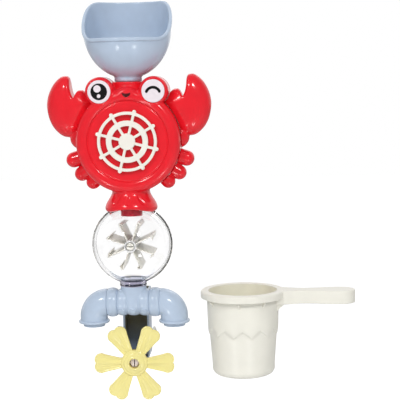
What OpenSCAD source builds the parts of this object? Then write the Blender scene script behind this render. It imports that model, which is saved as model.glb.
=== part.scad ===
// Crab sand and water wheel toy with its pouring cup.
// Origin: on the wall plane, level with the middle of the crab's body.
// +Z is up, the toy's front faces -Y, and the suction cups press on a wall at Y = 0.

/* [Placing] */
// Depth from the wall to the toy's middle plane
mid_depth = 42; // [41:0.5:50]
// Running clearance, on the radius, of a shaft in its bore
shaft_gap = 0.05; // [0.02:0.01:0.1]
// Clearance, on the radius, of one moulding pushed into another
push_gap = 0.1; // [0.05:0.05:0.2]
// Gap left between neighbouring mouldings
seam_gap = 0.25; // [0.15:0.05:0.4]

/* [Funnel] */
// Outer radius of the bowl at its mouth
bowl_r = 39; // [36:0.5:40]
// Depth of the bowl below its widest level
bowl_depth = 43; // [40:0.5:46]
// Wall of the funnel
funnel_wall = 1.8; // [1.4:0.1:2.4]
// Mean height of the rim above the widest level
rim_mid = 9.4; // [6:0.2:12]
// Rise of the rim from its mean height to the back, and fall to the front
rim_rise = 17.4; // [12:0.2:20]
// How far the rim bead stands proud of the bowl
bead_proud = 1.6; // [1:0.1:2]
// Height of the rim bead
bead_h = 3; // [2:0.2:4]
// Outer radius of the funnel's neck
neck_r = 12.2; // [11.8:0.1:13]
// Radius of the spigot that turns in the crab's collar
spigot_r = 10.9; // [10.4:0.1:11.2]
// Radius of the funnel's throat
throat_r = 9.2; // [8.4:0.1:9.4]
// Length of the spigot inside the collar
spigot_len = 12; // [9:0.5:14]
// Height of the neck that shows above the collar
neck_show = 4.6; // [3:0.2:6]

/* [Crab body] */
// Radius of the body disc
body_r = 46.5; // [45:0.5:49]
// Depth of the body in front of its parting plane
front_h = 20; // [19:0.5:22]
// Depth of the body behind its parting plane
back_h = 24; // [23:0.5:26]
// Wall of the two body shells
shell_wall = 2.3; // [1.8:0.1:2.6]
// Radius of the crest of the raised ring
ring_r = 39.6; // [39:0.2:40.4]
// Half the width of the raised ring
ring_half = 4; // [3:0.2:5]
// How far the round face lies below the ring's crest
face_drop = 1.4; // [0.8:0.2:2]
// Corner radius round the back of the body
back_fillet = 6; // [4:0.5:7]
// Height of the collar's top above the body's middle
collar_top = 52.4; // [52:0.2:55]
// Outer radius of the collar
collar_r = 14; // [13.6:0.2:15]
// Radius of the rounded snout that carries the mouth
snout_r = 11.5; // [11:0.25:12.5]
// Height of the snout's centre
snout_z = 36; // [35:0.5:37]
// Width of the mouth
mouth_w = 7; // [6:0.5:8]
// Depth of the mouth
mouth_deep = 1.6; // [1:0.2:2]

/* [Eyes] */
// How far the middle of each eye lies outside the body disc
eye_out = 3.5; // [3:0.1:4.5]
// Angle of the eyes above the level of the body's middle
eye_turn = 61.6; // [61:0.1:62.5]
// Radius of an eye pod
pod_r = 13; // [12.4:0.2:13.6]
// How far the eye pods stand in front of the parting plane
pod_h = 21.4; // [21:0.2:23]
// Radius of the white eye disc
eye_r = 10.2; // [9.6:0.1:10.4]
// Thickness of the white eye disc
eye_t = 1.8; // [1.2:0.2:2.4]
// Radius of the pupil
pupil_r = 7.3; // [6.5:0.1:8]
// Thickness of the eye prints
print_t = 0.2; // [0.1:0.05:0.4]
// Radius of the winking eye's arc
wink_r = 6.3; // [5.5:0.1:6.8]
// Width of the winking eye's stroke
wink_w = 2.5; // [2:0.1:3]

/* [Claws] */
// Height of a claw
claw_h = 55.4; // [52:0.2:57]
// Width of a claw at its broadest
claw_w = 36; // [34:0.5:37]
// Thickness of a claw
claw_t = 23; // [20:1:26]
// Height of the lowest point of a claw
claw_low = 3.2; // [3:0.2:5]
// How far a claw's middle lies outside the body disc
claw_out = 10; // [9.5:0.25:11.5]
// Width of a claw's thumb
thumb_w = 18; // [16:0.5:19]
// Radius of the arm that carries a claw
arm_r = 9.1; // [8.5:0.1:9.6]
// Radius of the peg that holds an arm in the body
arm_peg_r = 5; // [4:0.5:6]

/* [Legs] */
// Radius of a leg's round foot, as a share of the body disc's radius
foot_share = 0.144; // [0.14:0.001:0.15]
// How far the middle of the longest leg's round end lies outside the body disc
leg_out = 7; // [5:0.5:8.5]
// Radius of the peg that holds a leg in the body
leg_peg_r = 3.5; // [3:0.5:4]

/* [Tail] */
// Radius of the tail at its waist
waist_r = 17; // [16.6:0.2:18]
// Radius of the tail's skirt
skirt_r = 23.5; // [23:0.25:25]
// Height of the waist below the body's middle
waist_drop = 44.6; // [44:0.2:45.4]
// Height of the skirt below its waist
skirt_h = 19.2; // [18.6:0.2:19.6]
// Wall of the skirt
skirt_wall = 2.2; // [1.8:0.1:2.4]
// How far the skirt's edge arches up at the middle
arch_rise = 3.6; // [2.5:0.1:4.5]
// Depth of the three drop-shaped hollows
drop_deep = 0.6; // [0.4:0.1:0.9]

/* [Ship wheel] */
// Outer radius of the ship wheel's rim
helm_r = 26.4; // [24:0.2:27]
// Width of the ship wheel's rim
helm_rim = 2.7; // [2:0.1:3.4]
// Outer radius of the middle ring
helm_mid_r = 18.6; // [17:0.2:19.6]
// Width of the middle ring
helm_mid_w = 4.9; // [4:0.1:5.6]
// Radius of the ship wheel's hub
helm_hub_r = 7.3; // [6.5:0.1:8]
// Thickness of the ship wheel
helm_t = 2.6; // [2:0.1:3]
// Number of spokes
spokes = 8; // [6:1:10]
// Radius at the ends of the handles
handle_reach = 28.6; // [28:0.2:30]
// Angle at which the ship wheel has come to rest
helm_turn = 30; // [0:1:45]

/* [Water drive] */
// Radius of the ship wheel's axle
axle_r = 2.5; // [2:0.1:3]
// Inner radius of the drum round the impeller
drum_r = 24; // [22:0.5:25]
// Wall of the drum and the duct
duct_wall = 1.6; // [1.2:0.1:2]
// Reach of the impeller's blades
impeller_r = 22.4; // [20:0.2:22.6]
// Outer radius of the nozzle that drips into the globe
nozzle_r = 9.7; // [9.2:0.1:9.8]
// How far the nozzle reaches below the skirt
nozzle_show = 4; // [3:0.2:6]

/* [Globe] */
// Outer radius of the clear globe
globe_r = 35.2; // [34.6:0.2:36]
// Height of the globe's centre below the body's middle
globe_drop = 93.5; // [93:0.25:94.5]
// Wall of the globe
globe_wall = 1.6; // [1.2:0.1:2]
// Outer radius of the globe's two necks
globe_neck_r = 11.8; // [11.4:0.1:12]
// How far the seam flange stands out
seam_proud = 1.3; // [0.8:0.1:1.6]
// Half the thickness of the seam flange
seam_half = 1.1; // [0.8:0.1:1.4]

/* [Paddle wheel] */
// Reach of the paddle wheel's blades
paddle_r = 22.5; // [20:0.5:26]
// Number of blades
paddle_blades = 8; // [6:1:10]
// Thickness of a blade
blade_t = 1.2; // [0.9:0.1:1.6]
// Length of the hook at the end of a blade
hook_len = 3.6; // [2.5:0.1:4.5]
// Half the width of the paddle wheel along its axle
paddle_half = 19; // [17:0.5:20]
// Radius of the paddle wheel's pin
pin_r = 2.5; // [2:0.1:3]

/* [Pipe] */
// Height of the pipe's axis below the globe's centre
pipe_drop = 53.3; // [53:0.1:54]
// Outer radius of the pipe
pipe_r = 12.4; // [12:0.1:12.6]
// Bore of the tee
tee_bore_r = 9.4; // [9:0.1:9.6]
// Half the width of the middle rib
mid_rib_half = 5.3; // [5:0.1:6]
// Width of each side rib
side_rib_w = 9.3; // [9:0.1:10]
// Width of each end collar
end_rib_w = 9.5; // [9:0.1:11]
// How far the end collars bulge
collar_bulge = 0.9; // [0.5:0.1:1.2]
// Bend radius of the elbows
bend_r = 12.6; // [12.6:0.1:14]
// Bore of the elbows
elbow_bore_r = 7.8; // [7:0.1:8.2]
// Radius of the lip at the elbow's mouth
lip_r = 14; // [13.4:0.1:14.6]
// Height of that lip
lip_h = 2.4; // [2:0.1:3.4]
// Radius of the nozzle ring below the lip
spout_r = 9.8; // [9.2:0.1:10.4]
// How far the nozzle ring shows below the lip
spout_show = 3.1; // [2.5:0.1:4.5]
// Radius of the drain hole under the tee
drain_r = 4; // [3:0.25:5]
// Radius of the three buttons on the tee
button_r = 2.9; // [2.4:0.1:3.4]

/* [Column] */
// Half the outer width of the column
column_half = 12; // [11:0.5:13]
// Wall of the column
column_wall = 1.8; // [1.4:0.1:2.4]
// Distance of the column's front edges behind the middle plane
column_front = 12.6; // [11:0.2:14]
// Clearance between the column's back and the wall
column_clear = 4; // [3:0.5:6]
// Radius of the boss that carries the flower's pin
boss_r = 5; // [4.4:0.1:6]

/* [Flower] */
// Height of the flower's centre below the pipe's axis
flower_drop = 54.8; // [54:0.2:58]
// Reach of the petals
petal_reach = 36.4; // [34:0.2:38]
// Radius of the flower's hub
flower_hub_r = 11.7; // [10.5:0.1:12.5]
// Thickness of a petal
petal_t = 2; // [1.6:0.1:2.6]
// Number of petals
petals = 6; // [5:1:7]
// Reach of the paddles behind the petals
flower_paddle_r = 34.6; // [30:0.2:35]
// Radius of the flower's pin
flower_pin_r = 3; // [2.4:0.1:3.4]

/* [Suction cups] */
// Sideways place of each suction cup
suction_x = 22.5; // [21.5:0.5:24]
// Radius of a suction cup's rim
suction_r = 20; // [17:0.5:21]
// Radius of the neck that snaps into the body's back
suction_neck_r = 5; // [4:0.5:6]
// Wall of a suction cup
suction_wall = 1.6; // [1.2:0.1:2]

/* [Pouring cup] */
// Sideways place of the pouring cup
cup_x = 99; // [99:1:140]
// Height of the pouring cup's base below the body's middle
cup_drop = 213; // [200:1:240]
// Height of the pouring cup
cup_h = 77; // [70:1:84]
// Radius of the cup's rim
cup_rim_r = 38; // [36:0.5:40]
// Outer radius of the cup under its rim
cup_top_r = 32.6; // [31:0.2:34]
// Outer radius of the cup at its foot
cup_foot_r = 28.2; // [26:0.2:30]
// Wall of the cup
cup_wall = 1.8; // [1.4:0.1:2.4]
// Corner radius at the cup's foot
cup_fillet = 9; // [6:0.5:11]
// Reach of the cup's handle from its axis
cup_reach = 101; // [92:1:110]
// Height of the handle's sides
grip_h = 12; // [10:0.5:14]
// Number of points in the zigzag step
zigzags = 12; // [8:1:16]

/* [Hidden] */
$fn = 72;
blue = "#b3c3dc";
red = "#e5202c";
cream = "#f1eee2";
yellow = "#f4e99d";
white = "#f2ecef";
ink = "#161416";
clear = "#e8f0f6";
steel = "#b9bcc0";
// Overrun of a cut past the face that it opens
over = 1;
// Reach of a block that takes half of the toy
far = 400;
// Segments in an outline's fillet
arc_n = 6;

// Places that follow from the sizes above
eye_x = (body_r + eye_out) * cos(eye_turn);
eye_z = (body_r + eye_out) * sin(eye_turn);
leg_reach = body_r + leg_out;
foot_r = body_r * foot_share;
claw_x = body_r + claw_out;
shoulder_r = body_r - ring_r;
face_z = front_h - face_drop;
face_wall = shell_wall + 0.12 * shell_wall;
shell_in_r = body_r - shell_wall;
face_in = face_z - face_wall;
back_in = back_h - shell_wall;
socket_r = spigot_r + shaft_gap;
neck_foot = collar_top + seam_gap;
bowl_z = neck_foot + neck_show + bowl_depth * sqrt(1 - pow(neck_r / bowl_r, 2));
rim_z = bowl_z + rim_mid;
steep_share = 0.7;
skirt_low = -waist_drop - skirt_h;
tail_fillet = 1.8;
drop_turn = 31;
drop_r = 2.4;
drop_h = 9;
shelf_z = -waist_drop - 6;
shelf_t = 3;
flange_t = 2;
flange_proud = 1.6;
globe_z = -globe_drop;
pipe_z = globe_z - pipe_drop;
flower_z = pipe_z - flower_drop;
cup_z = -cup_drop;

// Values of the drive inside the body
drum_half = 11;
blade_gap = 0.8;
hub_r = 5;
bearing_r = 6;
bearing_h = 1.2;
rear_bore = 6;
wheel_gap = 0.25;
helm_back = face_z + bearing_h + wheel_gap;
impeller_blades = 8;
hook_turn = 35;

// Values of the eyes and the mouth
pod_fillet = 3.6;
pod_back = 15;
pod_floor = 2.4;
eye_sunk = 0.4;
glint_r = 3.2;
small_glint_r = 1.7;
mouth_lift = 4.6;
snout_fillet = 4;

// Values of the pipes
socket_bore_r = 10;
neck_spigot_len = 6;
neck_socket_r = 11.7;
socket_top = pipe_z + pipe_r + 2.9;
tee_half = mid_rib_half + side_rib_w + end_rib_w;
spout_x = tee_half + bend_r;
groove = 0.9;
elbow_spigot = 6;
leg_len = 3.6;
lip_top = pipe_z - bend_r - leg_len;
lip_low = lip_top - lip_h;
nozzle_seat = 4.4;
button_proud = 0.7;
button_tilt = 32;

// Values of the column and its screws
column_top = pipe_z + 8;
column_low = flower_z - 8;
column_back = mid_depth - column_clear;
post_r = 3.6;
post_x = 4.9;
pilot_r = 1.4;
screw_r = 1.35;
screw_head_r = 3;
screw_head_h = 1.8;
screw_len = 12;

// Values of the flower
petal_front = 9;
petal_half_root = 5.3;
petal_half_tip = 9.3;
lobe_r = 4.8;
dome_rise = 3.2;
flower_hole_r = 4.5;
pin_head_r = 3.9;
pin_head_h = 2.4;
slot_w = 1.1;
paddle_back = -11;
paddle_hub_r = 5.6;
boss_gap = 0.4;
pin_seat = 10;

// Values of the paddle wheel in the globe
globe_boss_r = 4.4;
globe_pin_seat = 8;
paddle_ring_r = 5.4;
paddle_turn_share = 0.57;
recess_r = 4.2;
recess_deep = 2.2;
small_head_r = 3.4;

// Values of the shells' screws
shell_post_r = 4;
post_ring_r = shell_in_r - 1.15 * shell_post_r;
post_turns = [34, 146, 218, 322];
screw_head_seat = 6;

// Values of the limbs; a claw's stations are [x, y, half width], as shares of its width and height
arm_turn = 1;
arm_reach = body_r - 0.2 * arm_r;
leg_turns = [-18, -33.6, -47.4];
leg_reach_shares = [1, 0.98, 0.925];
claw_shares = [[-0.14, 0, 0], [-0.125, 0.035, 0.17], [-0.11, 0.14, 0.4], [-0.07, 0.285, 0.49], [0, 0.43, 0.5],
    [0.08, 0.565, 0.43], [0.145, 0.68, 0.315], [0.16, 0.785, 0.235], [0.118, 0.88, 0.155],
    [0.06, 0.95, 0.085], [0.012, 1, 0]];
thumb_shares = [[-0.17, 0.28, 0], [-0.24, 0.39, 0.48], [-0.295, 0.5, 0.5], [-0.34, 0.6, 0.41],
    [-0.37, 0.68, 0.27], [-0.38, 0.735, 0.14], [-0.382, 0.77, 0]];
limb_sides = 20;

// Values of the pouring cup; the handle's outline is [place along it, half width], as shares of its reach
rim_h = 6.5;
rim_fillet = 2;
step_proud = 0.8;
step_z = 38;
step_r = cup_top_r - 1.2 * step_proud;
zigzag_h = 6;
gusset_h = 6;
gusset_t = 1.6;
gusset_turns = [62, 125, 215, 265, 305];
grip_shares = [[0.3, 0.125], [0.38, 0.115], [0.46, 0.088], [0.54, 0.074], [0.62, 0.078], [0.7, 0.093],
    [0.78, 0.108], [0.86, 0.114]];
cup_lift = 0.4;

// Values of the suction cups
suction_seat = 5;
knob_proud = 1.2;
knob_h = 2.4;

// Points along an arc, from angle a0 to a1, about [x, y]
function arc(x, y, r, a0, a1, n = arc_n, first = 0) =
    [for (i = [first:n]) let (a = a0 + (a1 - a0) * i / n) [x + r * cos(a), y + r * sin(a)]];

// Points along a quarter ellipse
function bow(rx, ry, z, a0, a1, n) =
    [for (i = [0:n]) let (a = a0 + (a1 - a0) * i / n) [rx * cos(a), z + ry * sin(a)]];

// Height of the funnel's rim at a depth y behind the middle plane
function rim_at(y) = rim_z + rim_rise * sin(90 * max(-1, min(1, y / (steep_share * bowl_r))));

// Local X stays, local Y points up and local Z points at the viewer, from the middle plane
module face_on(x = 0, z = 0) {
    translate([x, -mid_depth, z]) rotate([90, 0, 0]) children();
}

module upright(z = 0) {
    translate([0, -mid_depth, z]) children();
}

// Extrudes a profile of depth and height across the toy
module across(half) {
    translate([-half, 0, 0]) rotate([90, 0, 90]) linear_extrude(2 * half) children();
}

module revolve(points) {
    rotate_extrude() polygon(points);
}

// Keeps what lies in front of the middle plane, or behind it
module front_half() {
    intersection() {
        children();
        translate([-far, -mid_depth - far, -far]) cube([2 * far, far, 2 * far]);
    }
}

module back_half() {
    intersection() {
        children();
        translate([-far, -mid_depth, -far]) cube([2 * far, far, 2 * far]);
    }
}

// A bar in the middle plane that runs out from the body's middle at an angle
module radial(angle, from, to, r) {
    face_on() rotate([0, 0, angle]) translate([from, 0, 0]) rotate([0, 90, 0]) cylinder(r = r, h = to - from);
}

// The funnel turns in the crab's collar; its rim dips at the front and rises at the back
module rim_band(top, low) {
    depth = bowl_r + bead_proud + over;
    ys = [for (i = [-12:12]) i / 12 * depth];
    across(depth) polygon(concat(
        [for (y = ys) [y, rim_at(y) + low]],
        [for (i = [12:-1:-12]) [i / 12 * depth, rim_at(i / 12 * depth) + top]]));
}

module funnel() {
    neck_angle = acos(neck_r / bowl_r);
    in_r = bowl_r - funnel_wall;
    in_depth = bowl_depth - funnel_wall;
    throat_angle = acos(throat_r / in_r);
    top = rim_z + rim_rise;
    color(blue) upright() difference() {
        union() {
            difference() {
                revolve(concat(
                    [[0, collar_top - spigot_len], [spigot_r, collar_top - spigot_len], [spigot_r, neck_foot],
                        [neck_r, neck_foot]],
                    bow(bowl_r, bowl_depth, bowl_z, -neck_angle, 0, 18),
                    [[bowl_r, top], [0, top]]));
                rim_band(far, -bead_h / 2);
            }
            intersection() {
                translate([0, 0, collar_top]) cylinder(r = bowl_r + bead_proud, h = far);
                rim_band(0, -bead_h);
            }
        }
        revolve(concat(
            [[0, collar_top - spigot_len - over], [throat_r, collar_top - spigot_len - over]],
            bow(in_r, in_depth, bowl_z, -throat_angle, 0, 18),
            [[in_r, top + over], [0, top + over]]));
    }
}

// The body's outer form: disc with its raised ring, eye pods, snout, collar and bell-shaped tail
module body_outside() {
    crest_angle = 180 - asin((ring_half - face_drop) / ring_half);
    face_on() revolve(concat(
        [[0, -back_h]],
        arc(body_r - back_fillet, back_fillet - back_h, back_fillet, -90, 0),
        arc(ring_r, front_h - shoulder_r, shoulder_r, 0, 90),
        arc(ring_r, front_h - ring_half, ring_half, 90, crest_angle, arc_n, 1),
        [[0, face_z]]));
    for (side = [-1, 1])
        face_on(side * eye_x, eye_z) revolve(concat(
            [[0, -pod_back]],
            arc(pod_r - 2 * pod_fillet, 2 * pod_fillet - pod_back, 2 * pod_fillet, -90, 0),
            arc(pod_r - pod_fillet, pod_h - pod_fillet, pod_fillet, 0, 90),
            [[0, pod_h]]));
    difference() {
        face_on(0, snout_z) revolve(concat(
            [[0, 0], [snout_r, 0]],
            arc(snout_r - snout_fillet, front_h - snout_fillet, snout_fillet, 0, 90),
            [[0, front_h]]));
        face_on() translate([0, 0, face_z]) cylinder(r = ring_r - ring_half / 2, h = far);
    }
    upright(eye_z - pod_r) cylinder(r = collar_r, h = collar_top - eye_z + pod_r);
    tail_outside();
}

// Outline of the tail, from its waist to its skirt
function tail_line(inset) = [for (i = [0:8])
    let (t = i / 8)
    [waist_r + (skirt_r - waist_r) * (1 - cos(180 * t)) / 2 - inset,
        -waist_drop - t * (skirt_h - 2 * tail_fillet)]];

module tail_outside() {
    upright() revolve(concat(
        [[0, -snout_z], [waist_r, -snout_z]],
        tail_line(0),
        arc(skirt_r - tail_fillet, skirt_low + tail_fillet, tail_fillet, 0, -90),
        [[0, skirt_low]]));
}

module tail_inside() {
    arch_half = skirt_r - 3 * tail_fillet;
    arch_r = (arch_half * arch_half + arch_rise * arch_rise) / (2 * arch_rise);
    difference() {
        upright() revolve(concat([[0, -snout_z], [waist_r - skirt_wall, -snout_z]], tail_line(skirt_wall),
            [[skirt_r - skirt_wall, skirt_low - over], [0, skirt_low - over]]));
        upright(shelf_z - shelf_t) cylinder(r = skirt_r, h = shelf_t);
    }
    upright(shelf_z - shelf_t - over) cylinder(r = globe_neck_r + push_gap, h = shelf_t + 2 * over);
    translate([0, far / 2, skirt_low + arch_rise - arch_r]) rotate([90, 0, 0])
        cylinder(r = arch_r, h = far, $fn = 180);
    upright() difference() {
        for (turn = [-1:1], back = [0, 180])
            rotate([0, 0, turn * drop_turn + back]) tail_drop();
        revolve(concat([[0, -snout_z], [waist_r - drop_deep, -snout_z]], tail_line(drop_deep),
            [[skirt_r - drop_deep, skirt_low - over], [0, skirt_low - over]]));
    }
}

// One of the drop-shaped hollows in the tail's face
module tail_drop() {
    drop_top = -waist_drop - drop_h / 3;
    drop_low = drop_top - drop_h + 2 * drop_r;
    rotate([90, 0, 0]) linear_extrude(far) {
        translate([0, drop_low]) circle(r = drop_r);
        polygon([[-drop_r, drop_low], [drop_r, drop_low], [drop_r / 4, drop_top], [-drop_r / 4, drop_top]]);
    }
}

// The body's hollow: a disc-shaped room, the pods' hollows, the collar's bore and the tail's bell
module body_inside() {
    face_on() revolve([[0, -back_in], [shell_in_r - back_fillet, -back_in],
        [shell_in_r, back_fillet - back_in], [shell_in_r, front_h - shoulder_r],
        [ring_r, face_in], [0, face_in]]);
    for (side = [-1, 1])
        face_on(side * eye_x, eye_z) {
            translate([0, 0, -pod_back + 2 * pod_fillet]) cylinder(r = pod_r - shell_wall,
                h = pod_back - 2 * pod_fillet + pod_h - eye_t - eye_sunk - pod_floor);
            translate([0, 0, pod_h - eye_t - eye_sunk]) cylinder(r = eye_r + push_gap, h = far);
        }
    upright(eye_z - pod_r) cylinder(r = socket_r, h = far);
    tail_inside();
}

// Pegs of the arms and the legs, and the holes that they fill
module pegs(r, leg_r) {
    for (side = [0, 1])
        mirror([side, 0, 0]) {
            radial(arm_turn, shell_in_r - over, body_r + seam_gap + over, r);
            for (turn = leg_turns)
                radial(turn, shell_in_r - over, body_r + seam_gap + over, leg_r);
        }
}

module front_shell() {
    color(red) difference() {
        union() {
            front_half() difference() {
                body_outside();
                body_inside();
            }
            face_on() {
                translate([0, 0, drum_half + duct_wall]) cylinder(r = bearing_r,
                    h = face_z + bearing_h - drum_half - duct_wall);
                intersection() {
                    for (turn = post_turns)
                        rotate([0, 0, turn]) translate([post_ring_r, 0, 0]) cylinder(r = shell_post_r,
                            h = face_in + face_drop / 2);
                    cylinder(r = shell_in_r, h = face_z);
                }
            }
        }
        face_on() {
            cylinder(r = axle_r + shaft_gap, h = far);
            for (turn = post_turns)
                rotate([0, 0, turn]) translate([post_ring_r, 0, -over])
                    cylinder(r = pilot_r, h = screw_len + over);
            translate([0, snout_z + mouth_lift, front_h - mouth_deep]) linear_extrude(far) mouth();
        }
        pegs(arm_peg_r + push_gap, leg_peg_r + push_gap);
    }
}

// A smile: the lower half of a circle, flattened
module mouth() {
    polygon(concat(bow(mouth_w / 2, mouth_w * 0.55, mouth_w / 4, -180, 0, 12), [[0, mouth_w / 8]]));
}

module back_shell() {
    color(red) difference() {
        union() {
            back_half() difference() {
                body_outside();
                body_inside();
            }
            face_on() mirror([0, 0, 1]) {
                translate([0, 0, drum_half + duct_wall])
                    cylinder(r = bearing_r, h = back_in - drum_half - duct_wall + over);
                intersection() {
                    for (turn = post_turns)
                        rotate([0, 0, turn]) translate([post_ring_r, 0, 0]) cylinder(r = shell_post_r,
                            h = back_in + shell_wall / 2);
                    cylinder(r = shell_in_r, h = back_h - back_fillet);
                }
                for (side = [-1, 1])
                    translate([side * suction_x, 0, back_in - suction_seat])
                        cylinder(r = suction_neck_r + 2 * shell_wall, h = suction_seat + over);
            }
        }
        face_on() mirror([0, 0, 1]) {
            translate([0, 0, drum_half]) cylinder(r = axle_r + shaft_gap, h = duct_wall + rear_bore);
            for (turn = post_turns)
                rotate([0, 0, turn]) translate([post_ring_r, 0, 0]) {
                    translate([0, 0, -over]) cylinder(r = screw_r + push_gap, h = far);
                    translate([0, 0, screw_head_seat]) cylinder(r = screw_head_r + push_gap, h = far);
                }
            for (side = [-1, 1])
                translate([side * suction_x, 0, back_in - suction_seat - over])
                    cylinder(r = suction_neck_r + push_gap, h = far);
        }
        pegs(arm_peg_r + push_gap, leg_peg_r + push_gap);
    }
}

// A rounded limb swept along its stations [x, y, half width]; depth is its greatest half thickness
module limb(stations, width, depth) {
    n = len(stations) - 1;
    rings = [for (i = [1:n - 1])
        let (run = stations[i + 1] - stations[i - 1])
        let (turn = atan2(run[1], run[0]))
        let (half = stations[i][2])
        [for (k = [0:limb_sides - 1])
            let (a = 360 * k / limb_sides)
            [stations[i][0] + half * cos(a) * sin(turn), stations[i][1] - half * cos(a) * cos(turn),
                depth * pow(2 * half / width, 0.6) * sin(a)]]];
    points = concat([[stations[0][0], stations[0][1], 0]], [for (ring = rings) for (point = ring) point],
        [[stations[n][0], stations[n][1], 0]]);
    last = len(points) - 1;
    polyhedron(points, concat(
        [for (k = [0:limb_sides - 1]) [0, 1 + (k + 1) % limb_sides, 1 + k]],
        [for (i = [0:n - 3]) for (k = [0:limb_sides - 1])
            let (a = 1 + i * limb_sides + k)
            let (b = 1 + i * limb_sides + (k + 1) % limb_sides)
            [a, b, b + limb_sides, a + limb_sides]],
        [for (k = [0:limb_sides - 1])
            let (a = last - limb_sides)
            [last, a + k, a + (k + 1) % limb_sides]]));
}

// The claw on the toy's +X side: palm and finger, thumb, and the arm that carries them
module claw() {
    palm = [for (share = claw_shares)
        [claw_x + share[0] * claw_w, claw_low + share[1] * claw_h, share[2] * claw_w]];
    thumb = [for (share = thumb_shares)
        [claw_x + share[0] * claw_w, claw_low + share[1] * claw_h, share[2] * thumb_w]];
    color(red) {
        difference() {
            union() {
                face_on() {
                    limb(palm, claw_w, claw_t / 2);
                    limb(thumb, thumb_w, claw_t / 3);
                }
                radial(arm_turn, ring_r, arm_reach, arm_r);
                face_on() rotate([0, 0, arm_turn]) translate([arm_reach, 0, 0]) sphere(r = arm_r);
            }
            body_room();
        }
        radial(arm_turn, shell_in_r, arm_reach + arm_r / 2, arm_peg_r);
    }
}

// The room that the body takes up, with a seam's gap round it
module body_room() {
    face_on() translate([0, 0, -far]) cylinder(r = body_r + seam_gap, h = 2 * far);
    for (side = [-1, 1])
        face_on(side * eye_x, eye_z) translate([0, 0, -far]) cylinder(r = pod_r + seam_gap, h = 2 * far);
}

module right_claw() {
    claw();
}

module left_claw() {
    mirror([1, 0, 0]) claw();
}

// Three round-ended legs in one moulding, on the toy's +X side
module legs() {
    color(red) {
        difference() {
            for (i = [0:2]) {
                reach = leg_reach * leg_reach_shares[i];
                radial(leg_turns[i], ring_r, reach, foot_r);
                face_on() rotate([0, 0, leg_turns[i]]) translate([reach, 0, 0]) sphere(r = foot_r);
            }
            body_room();
        }
        for (turn = leg_turns)
            radial(turn, shell_in_r, body_r + foot_r / 2, leg_peg_r);
    }
}

module right_legs() {
    legs();
}

module left_legs() {
    mirror([1, 0, 0]) legs();
}

// White disc that lies in an eye pod's recess
module eye(side) {
    color(white) face_on(side * eye_x, eye_z) translate([0, 0, pod_h - eye_t - eye_sunk])
        cylinder(r = eye_r, h = eye_t);
}

module left_eye() {
    eye(-1);
}

module right_eye() {
    eye(1);
}

// Black pupil with two glints left open, printed on the toy's left eye
module left_eye_print() {
    color(ink) face_on(-eye_x, eye_z) translate([0, 0, pod_h - eye_sunk]) difference() {
        cylinder(r = pupil_r, h = print_t);
        translate([-pupil_r * 0.36, pupil_r * 0.4, -over]) cylinder(r = glint_r, h = print_t + 2 * over);
        translate([-pupil_r * 0.06, -pupil_r * 0.46, -over])
            cylinder(r = small_glint_r, h = print_t + 2 * over);
    }
}

// Arc of the winking eye
module right_eye_print() {
    ends = 25;
    color(ink) face_on(eye_x, eye_z) translate([0, -wink_r / 2, pod_h - eye_sunk]) linear_extrude(print_t) {
        polygon(concat(arc(0, 0, wink_r + wink_w / 2, ends, 180 - ends, 12),
            arc(0, 0, wink_r - wink_w / 2, 180 - ends, ends, 12)));
        for (a = [ends, 180 - ends])
            translate([wink_r * cos(a), wink_r * sin(a)]) circle(r = wink_w / 2);
    }
}

// Helm on the crab's front, which the water turns
module ship_wheel() {
    handle_r = helm_rim * 0.6;
    spoke_w = helm_rim * 0.9;
    color(cream) face_on() translate([0, 0, helm_back]) rotate([0, 0, helm_turn]) difference() {
        union() {
            linear_extrude(helm_t) {
                difference() {
                    circle(r = helm_r);
                    circle(r = helm_r - helm_rim);
                }
                difference() {
                    circle(r = helm_mid_r);
                    circle(r = helm_mid_r - helm_mid_w);
                }
                for (i = [0:spokes - 1])
                    rotate(360 / spokes * i) {
                        translate([0, -spoke_w / 2]) square([helm_r - helm_rim / 2, spoke_w]);
                        translate([handle_reach - handle_r, 0]) circle(r = handle_r);
                        translate([helm_r - helm_rim / 2, -spoke_w / 2])
                            square([handle_reach - helm_r, spoke_w]);
                    }
            }
            cylinder(r = helm_hub_r, h = helm_t + helm_t / 5);
        }
        translate([0, 0, -over]) cylinder(r = axle_r + shaft_gap, h = helm_t * 0.7 + over);
    }
}

// Axle from the ship wheel through the impeller to the back shell
module wheel_axle() {
    rear = drum_half + duct_wall + rear_bore - over;
    color(cream) face_on() translate([0, 0, -rear]) cylinder(r = axle_r, h = rear + helm_back + helm_t * 0.7);
}

// Wheel inside the body that the water pushes
module drive_impeller() {
    half = drum_half - 2 * blade_gap;
    root = (axle_r + hub_r) / 2;
    color(cream) face_on() difference() {
        union() {
            translate([0, 0, -half]) cylinder(r = hub_r, h = 2 * half);
            for (i = [0:impeller_blades - 1])
                rotate([0, 0, 360 / impeller_blades * i]) translate([root, -blade_t / 2, -half])
                    cube([impeller_r - root, blade_t, 2 * half]);
        }
        translate([0, 0, -half - over]) cylinder(r = axle_r + shaft_gap, h = 2 * half + 2 * over);
    }
}

// Duct that leads the water from the funnel past the impeller and down into the globe
module water_duct() {
    inlet_top = collar_top - spigot_len - seam_gap;
    nozzle_low = skirt_low - nozzle_show;
    color("#c51634") difference() {
        union() {
            face_on() translate([0, 0, -drum_half - duct_wall])
                cylinder(r = drum_r + duct_wall, h = 2 * drum_half + duct_wall);
            upright() cylinder(r = spigot_r, h = inlet_top);
            upright(nozzle_low) cylinder(r = nozzle_r, h = -nozzle_low);
        }
        face_on() translate([0, 0, -drum_half]) cylinder(r = drum_r, h = far);
        face_on() translate([0, 0, -drum_half - duct_wall - over]) cylinder(r = axle_r + shaft_gap, h = far);
        upright() cylinder(r = spigot_r - duct_wall, h = far);
        upright(-far) cylinder(r = nozzle_r - duct_wall, h = far);
    }
}

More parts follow.
